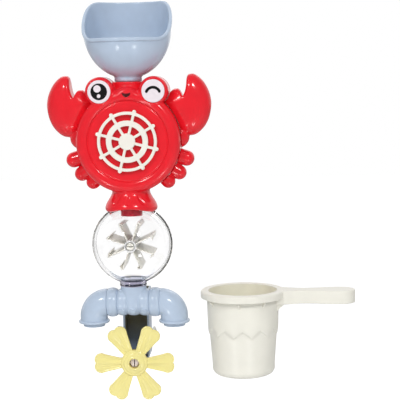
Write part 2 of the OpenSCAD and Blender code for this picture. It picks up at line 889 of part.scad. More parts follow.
// Lid of the drum round the impeller
module drum_cover() {
    color("#c51634") face_on() translate([0, 0, drum_half]) difference() {
        cylinder(r = drum_r + duct_wall, h = duct_wall);
        translate([0, 0, -over]) cylinder(r = axle_r + shaft_gap, h = duct_wall + 2 * over);
    }
}

module screw(length) {
    cylinder(r = screw_r, h = length);
    translate([0, 0, -screw_head_h]) cylinder(r = screw_head_r, h = screw_head_h);
}

// Four screws that hold the shells together, from behind
module shell_screws() {
    color(steel) for (turn = post_turns)
        face_on() rotate([0, 0, turn]) translate([post_ring_r, 0, -screw_head_seat]) screw(screw_len);
}

// Both halves of the clear globe, before they are cut apart at their seam
module globe() {
    in_r = globe_r - globe_wall;
    neck_in_r = globe_neck_r - globe_wall;
    spigot_out_r = socket_bore_r - push_gap;
    spigot_low = socket_top - neck_spigot_len;
    flange_top = shelf_z + seam_gap + flange_t;
    difference() {
        union() {
            upright(globe_z) sphere(r = globe_r);
            face_on(0, globe_z) translate([0, 0, -seam_half])
                cylinder(r = globe_r + seam_proud, h = 2 * seam_half);
            upright(globe_z) cylinder(r = globe_neck_r, h = flange_top - globe_z);
            upright(flange_top - flange_t) cylinder(r = globe_neck_r + flange_proud, h = flange_t);
            upright(socket_top) cylinder(r = globe_neck_r, h = globe_z - socket_top);
            upright(spigot_low) cylinder(r = spigot_out_r, h = globe_z - spigot_low);
        }
        upright(globe_z) sphere(r = in_r);
        upright(globe_z) cylinder(r = neck_in_r, h = far);
        upright(globe_z - far) cylinder(r = spigot_out_r - globe_wall, h = far);
    }
}

module globe_front() {
    color(clear, 0.35) front_half() globe();
}

// The rear half carries the boss that holds the paddle wheel's pin
module globe_back() {
    boss_face = -paddle_half - boss_gap;
    color(clear, 0.35) difference() {
        union() {
            back_half() globe();
            intersection() {
                face_on(0, globe_z) translate([0, 0, -globe_r])
                    cylinder(r = globe_boss_r, h = globe_r + boss_face);
                upright(globe_z) sphere(r = globe_r - globe_wall / 2);
            }
        }
        face_on(0, globe_z) translate([0, 0, boss_face - globe_pin_seat])
            cylinder(r = pin_r + push_gap, h = far);
    }
}

// A blade of the given reach whose end is hooked to one side
module blade(from, reach, half, hook) {
    translate([from, -blade_t / 2, -half]) cube([reach - from, blade_t, 2 * half]);
    translate([reach - blade_t, 0, -half]) rotate([0, 0, -hook_turn]) translate([0, -hook, 0])
        cube([blade_t, hook, 2 * half]);
}

// Wheel of hooked blades that the falling water spins in the globe
module paddle_wheel() {
    pitch = 360 / paddle_blades;
    color(cream) face_on(0, globe_z) difference() {
        union() {
            translate([0, 0, -paddle_half]) cylinder(r = paddle_ring_r, h = 2 * paddle_half);
            for (i = [0:paddle_blades - 1])
                rotate([0, 0, pitch * (i + paddle_turn_share)])
                    blade((pin_r + paddle_ring_r) / 2, paddle_r, paddle_half - blade_gap, hook_len);
        }
        translate([0, 0, -far]) cylinder(r = pin_r + shaft_gap, h = 2 * far);
        translate([0, 0, paddle_half - recess_deep]) cylinder(r = recess_r, h = far);
    }
}

// A pin with a slit snap head
module snap_pin(r, head_r, from, to, head_h) {
    difference() {
        union() {
            translate([0, 0, from]) cylinder(r = r, h = to - from);
            translate([0, 0, to]) cylinder(r = head_r, h = head_h);
        }
        translate([-far, -slot_w / 2, to - head_h]) cube([2 * far, slot_w, far]);
    }
}

module paddle_pin() {
    color(cream) face_on(0, globe_z) snap_pin(pin_r, small_head_r, -paddle_half - boss_gap - globe_pin_seat,
        paddle_half - recess_deep + shaft_gap, recess_deep * 0.8);
}

// Turns a shape drawn along local Z so that it runs along the toy's X, at the pipe's height
module along_x() {
    upright(pipe_z) rotate([0, 90, 0]) children();
}

// Outline of one rib of the pipe, between two places along it
function rib(from, to, r) = [[r - groove, from], [r, from + groove], [r, to - groove], [r - groove, to]];

// Tee that splits the water to both sides, with the socket that carries the globe
module pipe_tee() {
    bulge_r = pipe_r + collar_bulge;
    side_end = mid_rib_half + side_rib_w;
    bore_top = socket_top - neck_spigot_len - seam_gap;
    color(blue) difference() {
        union() {
            along_x() revolve(concat([[0, -tee_half]], rib(-tee_half, -side_end, bulge_r),
                rib(-side_end, -mid_rib_half, pipe_r), rib(-mid_rib_half, mid_rib_half, pipe_r),
                rib(mid_rib_half, side_end, pipe_r), rib(side_end, tee_half, bulge_r), [[0, tee_half]]));
            upright(pipe_z) cylinder(r = neck_socket_r, h = socket_top - pipe_z);
            for (i = [-1:1])
                face_on(i * (mid_rib_half + side_rib_w / 2), pipe_z) rotate([button_tilt, 0, 0])
                    cylinder(r = button_r, h = pipe_r + button_proud);
            for (side = [-1, 1])
                translate([side * post_x, -mid_depth, pipe_z]) rotate([-90, 0, 0])
                    cylinder(r = post_r, h = column_back - column_wall);
        }
        along_x() translate([0, 0, -far]) cylinder(r = tee_bore_r, h = 2 * far);
        upright(pipe_z) cylinder(r = tee_bore_r, h = far);
        upright(bore_top) cylinder(r = socket_bore_r, h = far);
        upright(pipe_z - far) cylinder(r = drain_r, h = far);
        for (side = [-1, 1])
            translate([side * post_x, column_back - column_wall - mid_depth - screw_len, pipe_z])
                rotate([-90, 0, 0]) cylinder(r = pilot_r, h = far);
    }
}

// Elbow that turns the water downwards, on the toy's +X side
module elbow() {
    color(blue) difference() {
        union() {
            along_x() translate([0, 0, tee_half - elbow_spigot])
                cylinder(r = tee_bore_r - push_gap, h = elbow_spigot + over);
            translate([tee_half, -mid_depth, pipe_z - bend_r]) rotate([90, 0, 0])
                rotate_extrude(angle = 90) translate([bend_r, 0]) circle(r = pipe_r);
            translate([spout_x, -mid_depth, lip_top]) cylinder(r = pipe_r, h = leg_len);
            translate([spout_x, -mid_depth, lip_low]) revolve(concat([[0, 0]],
                arc(lip_r - lip_h / 2, lip_h / 2, lip_h / 2, -90, 90), [[0, lip_h]]));
        }
        along_x() cylinder(r = elbow_bore_r, h = tee_half);
        translate([tee_half, -mid_depth, pipe_z - bend_r]) rotate([90, 0, 0])
            rotate_extrude(angle = 90) translate([bend_r, 0]) circle(r = elbow_bore_r);
        translate([spout_x, -mid_depth, lip_low - over]) {
            cylinder(r = elbow_bore_r, h = lip_h + leg_len + over);
            cylinder(r = spout_r + push_gap, h = nozzle_seat + over);
        }
    }
}

module right_elbow() {
    elbow();
}

module left_elbow() {
    mirror([1, 0, 0]) elbow();
}

// Ring pushed into an elbow's mouth
module nozzle(side) {
    low = lip_low - spout_show;
    color(blue) translate([side * spout_x, -mid_depth, low]) difference() {
        cylinder(r = spout_r, h = spout_show + nozzle_seat);
        translate([0, 0, -over]) cylinder(r = elbow_bore_r, h = far);
    }
}

module left_nozzle() {
    nozzle(-1);
}

module right_nozzle() {
    nozzle(1);
}

// Channel behind the pipe, open to the front, that carries the flower
module back_column() {
    depth = column_back - column_front;
    inner_half = column_half - column_wall;
    round_z = column_low + column_half;
    boss_face = -mid_depth - paddle_back + boss_gap;
    color(blue) difference() {
        union() {
            difference() {
                trough(column_half, column_front, depth, column_top - round_z);
                trough(inner_half, column_front - over, depth - column_wall + over, far);
            }
            translate([0, boss_face, flower_z]) rotate([-90, 0, 0])
                cylinder(r = boss_r, h = column_back - mid_depth - boss_face - over);
        }
        along_x() translate([0, 0, -far]) cylinder(r = pipe_r + push_gap, h = 2 * far);
        translate([0, boss_face - over, flower_z]) rotate([-90, 0, 0])
            cylinder(r = flower_pin_r + push_gap, h = pin_seat + over);
        for (side = [-1, 1])
            translate([side * post_x, -mid_depth, pipe_z]) rotate([-90, 0, 0])
                cylinder(r = screw_r + push_gap, h = far);
    }
}

// A block with a round lower end, behind the middle plane; rise is its height above the round end's middle
module trough(half, front, depth, rise) {
    translate([0, front - mid_depth, column_low + column_half]) {
        translate([-half, 0, 0]) cube([2 * half, depth, rise]);
        rotate([-90, 0, 0]) cylinder(r = half, h = depth);
    }
}

// Two screws that hold the column on the tee, from behind
module column_screws() {
    color(steel) for (side = [-1, 1])
        translate([side * post_x, column_back - mid_depth, pipe_z]) rotate([90, 0, 0]) screw(screw_len);
}

// Outline of one petal, pointing along +X
module petal() {
    tip = petal_reach - lobe_r;
    polygon([[flower_hub_r / 2, -petal_half_root], [tip, -petal_half_tip], [tip, petal_half_tip],
        [flower_hub_r / 2, petal_half_root]]);
    for (side = [-1, 1])
        translate([tip, side * (petal_half_tip - lobe_r)]) circle(r = lobe_r);
}

module flower_wheel() {
    color(yellow) face_on(0, flower_z) difference() {
        union() {
            translate([0, 0, petal_front - petal_t]) linear_extrude(petal_t)
                for (i = [0:petals - 1])
                    rotate(360 / petals * i) petal();
            translate([0, 0, petal_front - 2 * petal_t]) revolve(concat([[0, 0]],
                bow(flower_hub_r, dome_rise, 2 * petal_t, 0, 90, 8)));
            translate([0, 0, petal_front - 2 * petal_t]) cylinder(r = flower_hub_r, h = 2 * petal_t);
        }
        translate([0, 0, -far]) cylinder(r = flower_hole_r, h = 2 * far);
    }
}

// Paddles behind the petals, which the water pushes
module flower_paddle() {
    half = (petal_front - petal_t - paddle_back) / 2;
    collar_half = (petal_front - 2 * petal_t - paddle_back) / 2;
    color(cream) face_on(0, flower_z) difference() {
        union() {
            translate([0, 0, paddle_back]) cylinder(r = paddle_hub_r, h = 2 * collar_half);
            difference() {
                for (i = [0:petals - 1])
                    rotate([0, 0, 360 / petals * i]) translate([0, 0, paddle_back + half])
                        blade((flower_pin_r + paddle_hub_r) / 2, flower_paddle_r, half, hook_len);
                translate([0, 0, petal_front - 2 * petal_t]) cylinder(r = flower_hub_r + push_gap, h = far);
            }
        }
        translate([0, 0, -far]) cylinder(r = flower_pin_r + shaft_gap, h = 2 * far);
    }
}

module flower_pin() {
    seat = petal_front - 2 * petal_t + shaft_gap;
    color(white) face_on(0, flower_z) rotate([0, 0, 90])
        snap_pin(flower_pin_r, pin_head_r, paddle_back - boss_gap - pin_seat, seat, pin_head_h);
}

// Suction cup that presses on the wall; its neck snaps into the crab's back
module suction_cup(side) {
    seat_y = mid_depth - back_in + suction_seat;
    body_y = mid_depth - back_h;
    color(clear, 0.6) translate([side * suction_x, 0, 0]) rotate([90, 0, 0]) difference() {
        revolve([[0, suction_wall], [suction_r - suction_wall, 0], [suction_r, 0], [suction_r, suction_wall],
            [suction_r * 0.6, body_y * 0.55], [suction_neck_r * 1.5, body_y * 0.8],
            [suction_neck_r * 1.5, body_y], [suction_neck_r, body_y], [suction_neck_r, seat_y],
            [suction_neck_r + knob_proud, seat_y],
            [suction_neck_r, seat_y + knob_h], [0, seat_y + knob_h]]);
        revolve([[0, -over], [suction_r - suction_wall, -over], [suction_r - suction_wall, 0],
            [suction_r * 0.5, body_y * 0.3], [0, body_y * 0.4]]);
    }
}

module left_suction_cup() {
    suction_cup(-1);
}

module right_suction_cup() {
    suction_cup(1);
}

// Outline of the cup's handle, seen from above, drawn in by a wall's thickness
module grip(inset) {
    tip = cup_reach * grip_shares[len(grip_shares) - 1][1];
    polygon(concat([for (share = grip_shares) [cup_reach * share[0], inset - cup_reach * share[1]]],
        arc(cup_reach - tip, 0, tip - inset, -90, 90, 10),
        [for (i = [len(grip_shares) - 1:-1:0])
            [cup_reach * grip_shares[i][0], cup_reach * grip_shares[i][1] - inset]]));
}

// Cup with a rolled rim, a zigzag step round its side, gussets under the rim and a hollow handle
module pouring_cup() {
    rim_low = cup_h - rim_h;
    color(cream) translate([cup_x, -mid_depth, cup_z]) difference() {
        union() {
            revolve(concat([[0, 0]], arc(cup_foot_r - cup_fillet, cup_fillet, cup_fillet, -90, 0),
                [[step_r - step_proud, step_z + zigzag_h], [cup_top_r - step_proud, cup_h], [0, cup_h]]));
            difference() {
                revolve([[0, step_z], [step_r, step_z], [cup_top_r, rim_low], [0, rim_low]]);
                for (i = [0:zigzags - 1])
                    rotate([0, 0, 360 / zigzags * i]) zigzag();
            }
            translate([0, 0, rim_low]) revolve(concat([[0, 0], [cup_rim_r, 0]],
                arc(cup_rim_r - rim_fillet, rim_h - rim_fillet, rim_fillet, 0, 90), [[0, rim_h]]));
            for (turn = gusset_turns)
                rotate([0, 0, turn]) gusset(gusset_h, cup_rim_r - rim_fillet);
            gusset(2 * gusset_h, cup_rim_r + gusset_h);
            difference() {
                translate([0, 0, cup_h - grip_h - cup_lift]) linear_extrude(grip_h) grip(0);
                translate([0, 0, cup_h - grip_h - cup_lift - over])
                    linear_extrude(grip_h - cup_wall + over) grip(cup_wall);
            }
        }
        revolve(concat([[0, cup_wall]],
            arc(cup_foot_r - cup_fillet, cup_fillet, cup_fillet - cup_wall, -90, 0),
            [[cup_top_r - cup_wall, cup_h], [cup_top_r - cup_wall, cup_h + over], [0, cup_h + over]]));
        translate([0, 0, rim_low - over]) difference() {
            cylinder(r = cup_rim_r - cup_wall, h = rim_h - cup_wall + over);
            translate([0, 0, -over]) cylinder(r = cup_top_r + step_proud, h = far);
            translate([0, -cup_reach * grip_shares[0][1], -over])
                cube([far, 2 * cup_reach * grip_shares[0][1], far]);
        }
    }
}

// Notch that cuts one tooth of the zigzag step
module zigzag() {
    half = cup_top_r * sin(180 / zigzags) + over / 10;
    translate([cup_foot_r / 2, 0, step_z - over / 10]) rotate([90, 0, 90]) linear_extrude(far)
        polygon([[-half, 0], [half, 0], [0, zigzag_h]]);
}

module gusset(height, reach) {
    top = cup_h - rim_h + over / 10;
    translate([0, gusset_t / 2, 0]) rotate([90, 0, 0]) linear_extrude(gusset_t)
        polygon([[cup_foot_r, top], [cup_foot_r, top - height],
            [cup_top_r - cup_wall / 2, top - height], [reach, top]]);
}

funnel();
front_shell();
back_shell();
left_claw();
right_claw();
left_legs();
right_legs();
left_eye();
right_eye();
left_eye_print();
right_eye_print();
ship_wheel();
wheel_axle();
drive_impeller();
water_duct();
drum_cover();
shell_screws();
globe_front();
globe_back();
paddle_wheel();
paddle_pin();
pipe_tee();
left_elbow();
right_elbow();
left_nozzle();
right_nozzle();
back_column();
column_screws();
flower_wheel();
flower_paddle();
flower_pin();
left_suction_cup();
right_suction_cup();
pouring_cup();
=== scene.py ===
# %% [markdown]
# # A crab-shaped water wheel toy and its pouring cup
# This notebook dresses a finished construction model. The construction holds every piece at its real size, with
# its pins, bores and joints. Here each piece gets the soft edges, fillets and moulded finishes that a toy of
# glossy plastic shows. We start by loading that model, because every mesh made below is placed against it.

# %% Load the construction model
import math

import bmesh
import bpy
import numpy as np
from mathutils import Matrix, Vector


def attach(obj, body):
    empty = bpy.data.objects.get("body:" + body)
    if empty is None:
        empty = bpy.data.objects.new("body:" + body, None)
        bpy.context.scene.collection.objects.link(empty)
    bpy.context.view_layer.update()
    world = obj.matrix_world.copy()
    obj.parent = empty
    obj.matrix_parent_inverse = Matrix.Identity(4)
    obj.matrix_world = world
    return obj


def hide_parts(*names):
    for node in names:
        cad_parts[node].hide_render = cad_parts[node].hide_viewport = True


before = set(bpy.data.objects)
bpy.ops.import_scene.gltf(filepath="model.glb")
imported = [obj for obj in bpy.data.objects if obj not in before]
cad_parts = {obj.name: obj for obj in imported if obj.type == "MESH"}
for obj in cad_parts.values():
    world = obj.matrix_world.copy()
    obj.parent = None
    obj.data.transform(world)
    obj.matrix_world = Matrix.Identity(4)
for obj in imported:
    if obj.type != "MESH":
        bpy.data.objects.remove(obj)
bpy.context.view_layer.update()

scene = bpy.context.scene

# %% [markdown]
# ## The toy's own places
# Lengths are written in millimetres, as on the drawing, and turned into metres when a mesh is made. Every place
# is measured from the wall plane at the height of the middle of the crab's body. The toy's middle plane, where
# its front and back mouldings meet, lies `MID` in front of the wall. A point is given in three plain directions:
# x to the right, u upwards, and d towards the viewer from that middle plane.

# %% Main places, in millimetres
MM = 0.001
MID = 42.0
SHAFT_GAP, SEAT_GAP, SEAM = 0.05, 0.1, 0.25
FAR = 30.0          # well outside the form that a plate is joined to


def at(x, u, d):
    """Points in metres from their places to the right, upwards and towards the viewer, in millimetres."""
    x, u, d = np.broadcast_arrays(x, u, d)
    return np.stack([x * MM, -(MID + d) * MM, u * MM], -1)


def standing(x, u):
    """Places turned points round an upright axis at x, from the height u."""
    return lambda a, b, h: at(x + a, u + h, b)


def facing(x, u):
    """Places turned points round an axis that points at the viewer, at x and u."""
    return lambda a, b, h: at(x + a, u + b, h)


print("middle plane at", MID, "mm from the wall")

# %% [markdown]
# ## From rows of points to a mesh
# Many pieces of the toy were turned, bent or drawn in the mould maker's lathe and mill, so their skins are rows
# of points: each row is the same outline, carried round an axis or along a bend. One helper joins such rows by
# four-sided faces. Another rounds the corners of an outline, because no corner of a moulded toy is sharp. It also
# puts a point just beside each rounding, which keeps the shading of the flat stretches flat.

# %% Meshes from rows, and rounded outlines


def piece(name, points, faces, turn_out=True):
    """A mesh object from points in metres and faces, smooth, closed and with its faces outwards."""
    data = bpy.data.meshes.new(name)
    data.from_pydata(np.asarray(points).reshape(-1, 3).tolist(), [], [list(map(int, f)) for f in faces])
    if turn_out:
        work = bmesh.new()
        work.from_mesh(data)
        bmesh.ops.remove_doubles(work, verts=work.verts, dist=1e-6)
        bmesh.ops.recalc_face_normals(work, faces=work.faces)
        work.to_mesh(data)
        work.free()
    data.validate()
    data.polygons.foreach_set("use_smooth", [True] * len(data.polygons))
    obj = bpy.data.objects.new(name, data)
    scene.collection.objects.link(obj)
    return obj


def rows(name, grid, loop=True):
    """Joins a grid of points by faces, round from its last row to its first; loop closes each row too."""
    m, n = grid.shape[:2]
    i, j = np.meshgrid(np.arange(m), np.arange(n if loop else n - 1), indexing="ij")
    i2, j2 = (i + 1) % m, (j + 1) % n
    faces = np.stack([i * n + j, i2 * n + j, i2 * n + j2, i * n + j2], -1).reshape(-1, 4)
    return piece(name, grid, faces)


HOLD = 0.15         # how far beside a rounding its extra point lies
ROUND_SHARE, HOLD_SHARE = 0.46, 0.48    # shares of an edge that a rounding and its extra point may take


def softened(corners, steps=4):
    """An outline from corners (across, along, radius), each rounded by an arc of its radius."""
    spots = [np.array(c[:2], float) for c in corners]
    outline = []
    for i, corner in enumerate(spots):
        radius = corners[i][2] if len(corners[i]) > 2 else 0
        if radius == 0:
            outline.append(corner)
            continue
        back, ahead = spots[i - 1] - corner, spots[(i + 1) % len(spots)] - corner
        back_len, ahead_len = np.hypot(*back), np.hypot(*ahead)
        back, ahead = back / back_len, ahead / ahead_len
        half = math.acos(np.clip(back @ ahead, -1, 1)) / 2
        reach = min(radius / math.tan(half), ROUND_SHARE * back_len, ROUND_SHARE * ahead_len)
        radius = reach * math.tan(half)
        middle = (back + ahead) / np.hypot(*(back + ahead))
        centre = corner + middle * radius / math.sin(half)
        start = math.atan2(*(corner + back * reach - centre)[::-1])
        turn = math.atan2(*(corner + ahead * reach - centre)[::-1]) - start
        turn = (turn + math.pi) % (2 * math.pi) - math.pi
        if reach + HOLD < HOLD_SHARE * back_len:
            outline.append(corner + back * (reach + HOLD))
        for k in range(steps + 1):
            a = start + turn * k / steps
            outline.append(centre + radius * np.array([math.cos(a), math.sin(a)]))
        if reach + HOLD < HOLD_SHARE * ahead_len:
            outline.append(corner + ahead * (reach + HOLD))
    return np.array(outline)


def lathe(name, outline, place, turns=96):
    """Turns a closed outline of (radius, height) about the axis that place gives."""
    angle = np.arange(turns)[:, None] * 2 * math.pi / turns
    r, h = np.asarray(outline).T
    return rows(name, place(np.cos(angle) * r, np.sin(angle) * r, h + 0 * angle))


print("helpers ready")

# %% [markdown]
# ## Finishes
# Toys like this are injection moulded, mostly in glossy plastic. A single flat colour would look like a
# computer model, so each finish adds what a mould leaves: a faint unevenness of the colour, a soft ripple in the
# surface that bends the reflections, and a gloss that varies a little. Noise on object coordinates does that in
# three dimensions, so the finish needs no unwrapping and stays with the piece when it moves.

# %% A maker of plastics


def linear(rgb):
    """A colour as a picture gives it, 0 to 255, turned into the linear values that a shader wants."""
    return [((c / 255 + 0.055) / 1.055) ** 2.4 if c > 10 else c / 255 / 12.92 for c in rgb]


def preset(node, **values):
    """Sets inputs of a node. An underscore stands for a space in their names."""
    for label, value in values.items():
        node.inputs[label.replace("_", " ")].default_value = value
    return node


def noise(tree, place, scale, detail):
    """A noise texture on object coordinates."""
    node = preset(tree.nodes.new("ShaderNodeTexNoise"), Scale=scale, Detail=detail)
    tree.links.new(place.outputs["Object"], node.inputs["Vector"])
    return node


def spread(tree, source, low, high):
    """Stretches a noise from low to high."""
    node = preset(tree.nodes.new("ShaderNodeMapRange"), To_Min=low, To_Max=high)
    tree.links.new(source.outputs["Fac"], node.inputs["Value"])
    return node


def blank(name):
    """A new material, its tree, its shader and a node that gives object coordinates."""
    mat = bpy.data.materials.new(name)
    mat.use_nodes = True
    nodes = mat.node_tree.nodes
    return mat, mat.node_tree, nodes["Principled BSDF"], nodes.new("ShaderNodeTexCoord")


CLOUD, GRAIN = (70, 3), (420, 4)        # scale and detail of the two noises
TINT_STOPS, GLOSS_SPREAD = (0.3, 0.7), 0.15
RIPPLE, RIPPLE_DEEP = 0.05, 0.0004


def plastic(name, rgb, gloss, mottle=0.04, metal=0.0):
    """A moulded plastic of a colour and a roughness, with a mottle in its colour and a ripple in its surface."""
    mat, tree, shader, place = blank(name)
    cloud = noise(tree, place, *CLOUD)
    tint = tree.nodes.new("ShaderNodeValToRGB")
    for stop, spot, share in zip(tint.color_ramp.elements, TINT_STOPS, (1 - mottle, 1 + mottle)):
        stop.position = spot
        stop.color = [min(1, c * share) for c in linear(rgb)] + [1]
    tree.links.new(cloud.outputs["Fac"], tint.inputs["Fac"])
    tree.links.new(tint.outputs["Color"], shader.inputs["Base Color"])
    sheen = spread(tree, cloud, gloss * (1 - GLOSS_SPREAD), gloss * (1 + GLOSS_SPREAD))
    tree.links.new(sheen.outputs["Result"], shader.inputs["Roughness"])
    bump = preset(tree.nodes.new("ShaderNodeBump"), Strength=RIPPLE, Distance=RIPPLE_DEEP)
    tree.links.new(noise(tree, place, *GRAIN).outputs["Fac"], bump.inputs["Height"])
    tree.links.new(bump.outputs["Normal"], shader.inputs["Normal"])
    preset(shader, Metallic=metal)
    return mat


def object_axes(tree):
    """The object coordinates as sockets X, Y and Z, for masks that depend on a place."""
    place, parts = tree.nodes.new("ShaderNodeTexCoord"), tree.nodes.new("ShaderNodeSeparateXYZ")
    tree.links.new(place.outputs["Object"], parts.inputs[0])
    return parts.outputs


def ramp(tree, socket, start, end):
    """A mask that goes from 0 to 1 between two values of a socket."""
    node = preset(tree.nodes.new("ShaderNodeMapRange"), From_Min=start, From_Max=end)
    tree.links.new(socket, node.inputs["Value"])
    return node.outputs["Result"]


def mix_in(mat, mask, rgb):
    """Mixes another colour into a finish by a mask that goes from 0 to 1."""
    tree = mat.node_tree
    base, mix = tree.nodes["Principled BSDF"].inputs["Base Color"], tree.nodes.new("ShaderNodeMix")
    mix.data_type = "RGBA"
    tree.links.new(mask, mix.inputs["Factor"])
    if base.links:
        tree.links.new(base.links[0].from_socket, mix.inputs["A"])
    else:
        preset(mix, A=tuple(base.default_value))
    preset(mix, B=linear(rgb) + [1])
    tree.links.new(mix.outputs["Result"], base)


BLUE = plastic("pale blue plastic", (186, 202, 222), 0.17)
RED = plastic("red plastic", (234, 28, 42), 0.16)
DARK_RED = plastic("deep red plastic", (205, 10, 46), 0.28)
CREAM = plastic("cream plastic", (241, 238, 228), 0.3, mottle=0.02)
CUP = plastic("cup plastic", (239, 237, 226), 0.34, mottle=0.02)
# Painted shade: a slightly yellower cream for the faces inside the cup, where it lies in its own shade.
CUP_INSIDE_SHADE = plastic("cup's inside, painted shade", (240, 237, 219), 0.35)
WHITE = plastic("eye white", (238, 228, 234), 0.25, mottle=0.02)
INK = plastic("black print", (9, 8, 10), 0.1, mottle=0.2)
YELLOW = plastic("pale yellow plastic", (243, 231, 152), 0.17, mottle=0.03)
# Painted shade: a darker, warmer yellow for the petals' side faces, which take less light.
PETAL_SIDE_SHADE = plastic("petal sides' painted shade", (214, 188, 92), 0.3, mottle=0.05)
# Painted shade for the deep inside of the column's channel.
SHADE = plastic("channel's painted shade", (150, 144, 120), 0.45, mottle=0.2)
STEEL = plastic("zinc screws", (180, 182, 186), 0.3, mottle=0.1, metal=1.0)
print("plastics:", len(bpy.data.materials))

# %% [markdown]
# ## Clear mouldings
# The globe is clear polystyrene, the suction cups are soft vinyl. Both let light through and bend it, so they
# need a real wall: light enters and leaves each skin of it. What makes a clear wall visible at its edge is the
# long way that light takes inside it there, so a faint absorption in the volume does more than any tint.

# %% Clear finishes


HAZE, HAZE_SPREAD = (60, 2), 0.5


def clear(name, rough, ior, stain, density):
    """A transparent moulding, whose volume soaks up a little light on the way through."""
    mat, tree, shader, place = blank(name)
    preset(shader, Transmission_Weight=1.0, IOR=ior, Base_Color=[1, 1, 1, 1])
    haze = spread(tree, noise(tree, place, *HAZE), rough * (1 - HAZE_SPREAD), rough * (1 + HAZE_SPREAD))
    tree.links.new(haze.outputs["Result"], shader.inputs["Roughness"])
    soak = preset(tree.nodes.new("ShaderNodeVolumeAbsorption"), Color=linear(stain) + [1], Density=density)
    tree.links.new(soak.outputs["Volume"], tree.nodes["Material Output"].inputs["Volume"])
    return mat


CLEAR = clear("clear polystyrene", 0.01, 1.45, (150, 146, 156), 12)
VINYL = clear("soft clear vinyl", 0.12, 1.42, (170, 185, 200), 25)
# Painted shade: below a height the globe's lower neck and spigot turn grey-violet, standing in for the dark bands that
# refraction shows there.
NECK_PAINTED_SHADE, NECK_SHADE_TOP, NECK_SHADE_FULL = (206, 204, 218), -0.1245, -0.1265
neck_height = object_axes(CLEAR.node_tree)["Z"]
mix_in(CLEAR, ramp(CLEAR.node_tree, neck_height, NECK_SHADE_TOP, NECK_SHADE_FULL), NECK_PAINTED_SHADE)
print("clear finishes ready")

# %% [markdown]
# ## Skins from a distance rule
# The crab's shells, claws and legs are soft forms that flow into each other with small fillets. Boxes and
# cylinders joined by booleans would leave hard creases, and modelling the flow by hand takes many patches. Here
# each form is a rule that gives, for any point, roughly how far it lies outside the surface. Two rules blend
# into one with a fillet when their smaller value is taken softly. A skin is then laid where the rule is zero: a
# grid of small cells is searched, each cell that the surface crosses gets one point, and neighbouring points
# are joined by four-sided faces. A few steps along the rule's slope put each point exactly on the surface.

# %% Blending rules


def both(a, b, k=0.0):
    """The common part of two forms, with the edges between them rounded by about k."""
    if k == 0:
        return np.maximum(a, b)
    h = np.clip(0.5 + 0.5 * (a - b) / k, 0, 1)
    return b + (a - b) * h + k * h * (1 - h)


def either(a, b, k=0.0):
    """Two forms joined, with a fillet of about k between them."""
    return -both(-a, -b, k)


def without(a, b, k=0.0):
    """The first form with the second one cut out of it."""
    return both(a, -b, k)


def plate(side, d, low, high, edge):
    """A plate of an outline, where side is the distance outside it, between two levels, with rounded edges."""
    a, b = side + edge, np.abs(d - (low + high) / 2) - (high - low) / 2 + edge
    return np.hypot(np.maximum(a, 0), np.maximum(b, 0)) + np.minimum(np.maximum(a, b), 0) - edge


# %% The skin that a rule makes


SETTLE_STEPS, SLOPE_REACH, LEAST_SLOPE = 3, 0.05, 0.2


def skin(name, rule, low, high, cell):
    """A mesh of the surface where rule(x, u, d) is zero, inside a box in millimetres."""
    axes = [np.arange(low[i], high[i] + cell, cell) for i in range(3)]
    value = rule(*np.meshgrid(*axes, indexing="ij", sparse=True))
    cells = tuple(n - 1 for n in value.shape)
    spots, owners, quads = [], [], []
    for axis in range(3):
        first, second = (np.moveaxis(value, axis, 0)[s] for s in (slice(None, -1), slice(1, None)))
        cross = (first < 0) != (second < 0)
        index = np.argwhere(cross)
        part = first[cross] / (first[cross] - second[cross])
        rest = [i for i in range(3) if i != axis]
        corner = np.zeros((len(index), 3), int)
        corner[:, [axis] + rest] = index
        spot = np.stack([axes[i][corner[:, i]] for i in range(3)], 1)
        spot[:, axis] += part * cell
        around = []
        for back in ((1, 1), (0, 1), (0, 0), (1, 0)):
            near = corner.copy()
            near[:, rest] -= back
            around.append(np.ravel_multi_index(near.T, cells))
            spots.append(spot)
        owners += around
        quad = np.stack(around, 1)
        turned = (first[cross] < 0) == (axis == 1)
        quad[turned] = quad[turned][:, ::-1]
        quads.append(quad)
    used, number = np.unique(np.concatenate(owners), return_inverse=True)
    spots = np.concatenate(spots)
    share = np.bincount(number)
    points = np.stack([np.bincount(number, spots[:, i]) / share for i in range(3)], 1)
    for _ in range(SETTLE_STEPS):
        here, reach = rule(*points.T), cell * SLOPE_REACH
        slope = np.stack([rule(*(points + reach * np.eye(3)[i]).T) - here for i in range(3)], 1) / reach
        move = here / np.maximum((slope ** 2).sum(1), LEAST_SLOPE)
        points -= np.clip(move, -cell / 2, cell / 2)[:, None] * slope
    faces = np.searchsorted(used, np.concatenate(quads))
    obj = piece(name, at(*points.T), faces, turn_out=False)
    print(f"{name}: {len(points)} points, {len(faces)} faces")
    return obj


def faces_of(obj):
    """The middles and normals of a piece's faces, in metres."""
    found = np.zeros((2, len(obj.data.polygons) * 3))
    for values, what in zip(found, ("center", "normal")):
        obj.data.polygons.foreach_get(what, values)
    return found.reshape(2, -1, 3)


def mark(obj, chosen):
    """Gives the chosen faces the piece's second finish."""
    obj.data.polygons.foreach_set("material_index", chosen.astype(np.int32))


def dress(obj, body, slot, *mats, replaces=()):
    """Gives a finished piece its finishes and its body, and hides the nodes that it stands for. Its slot is not used.
    """
    for mat in mats:
        obj.data.materials.append(mat)
    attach(obj, body)
    if replaces:
        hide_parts(*replaces)

# %% [markdown]
# ## The funnel
# Water is poured into a bowl whose rim dips at the front and rises at the back. The bowl itself is a plain
# turned form, so its wall could come from a lathe, but its rim line climbs round it in an S and carries a bead
# that keeps its thickness even where the line is steep. So the wall is unrolled: every point has a place along
# the circle, a height and a distance from the wall. The bead's section is set square to the rim line in that
# unrolled sheet, and columns of points then run down both sides of the wall to the neck.

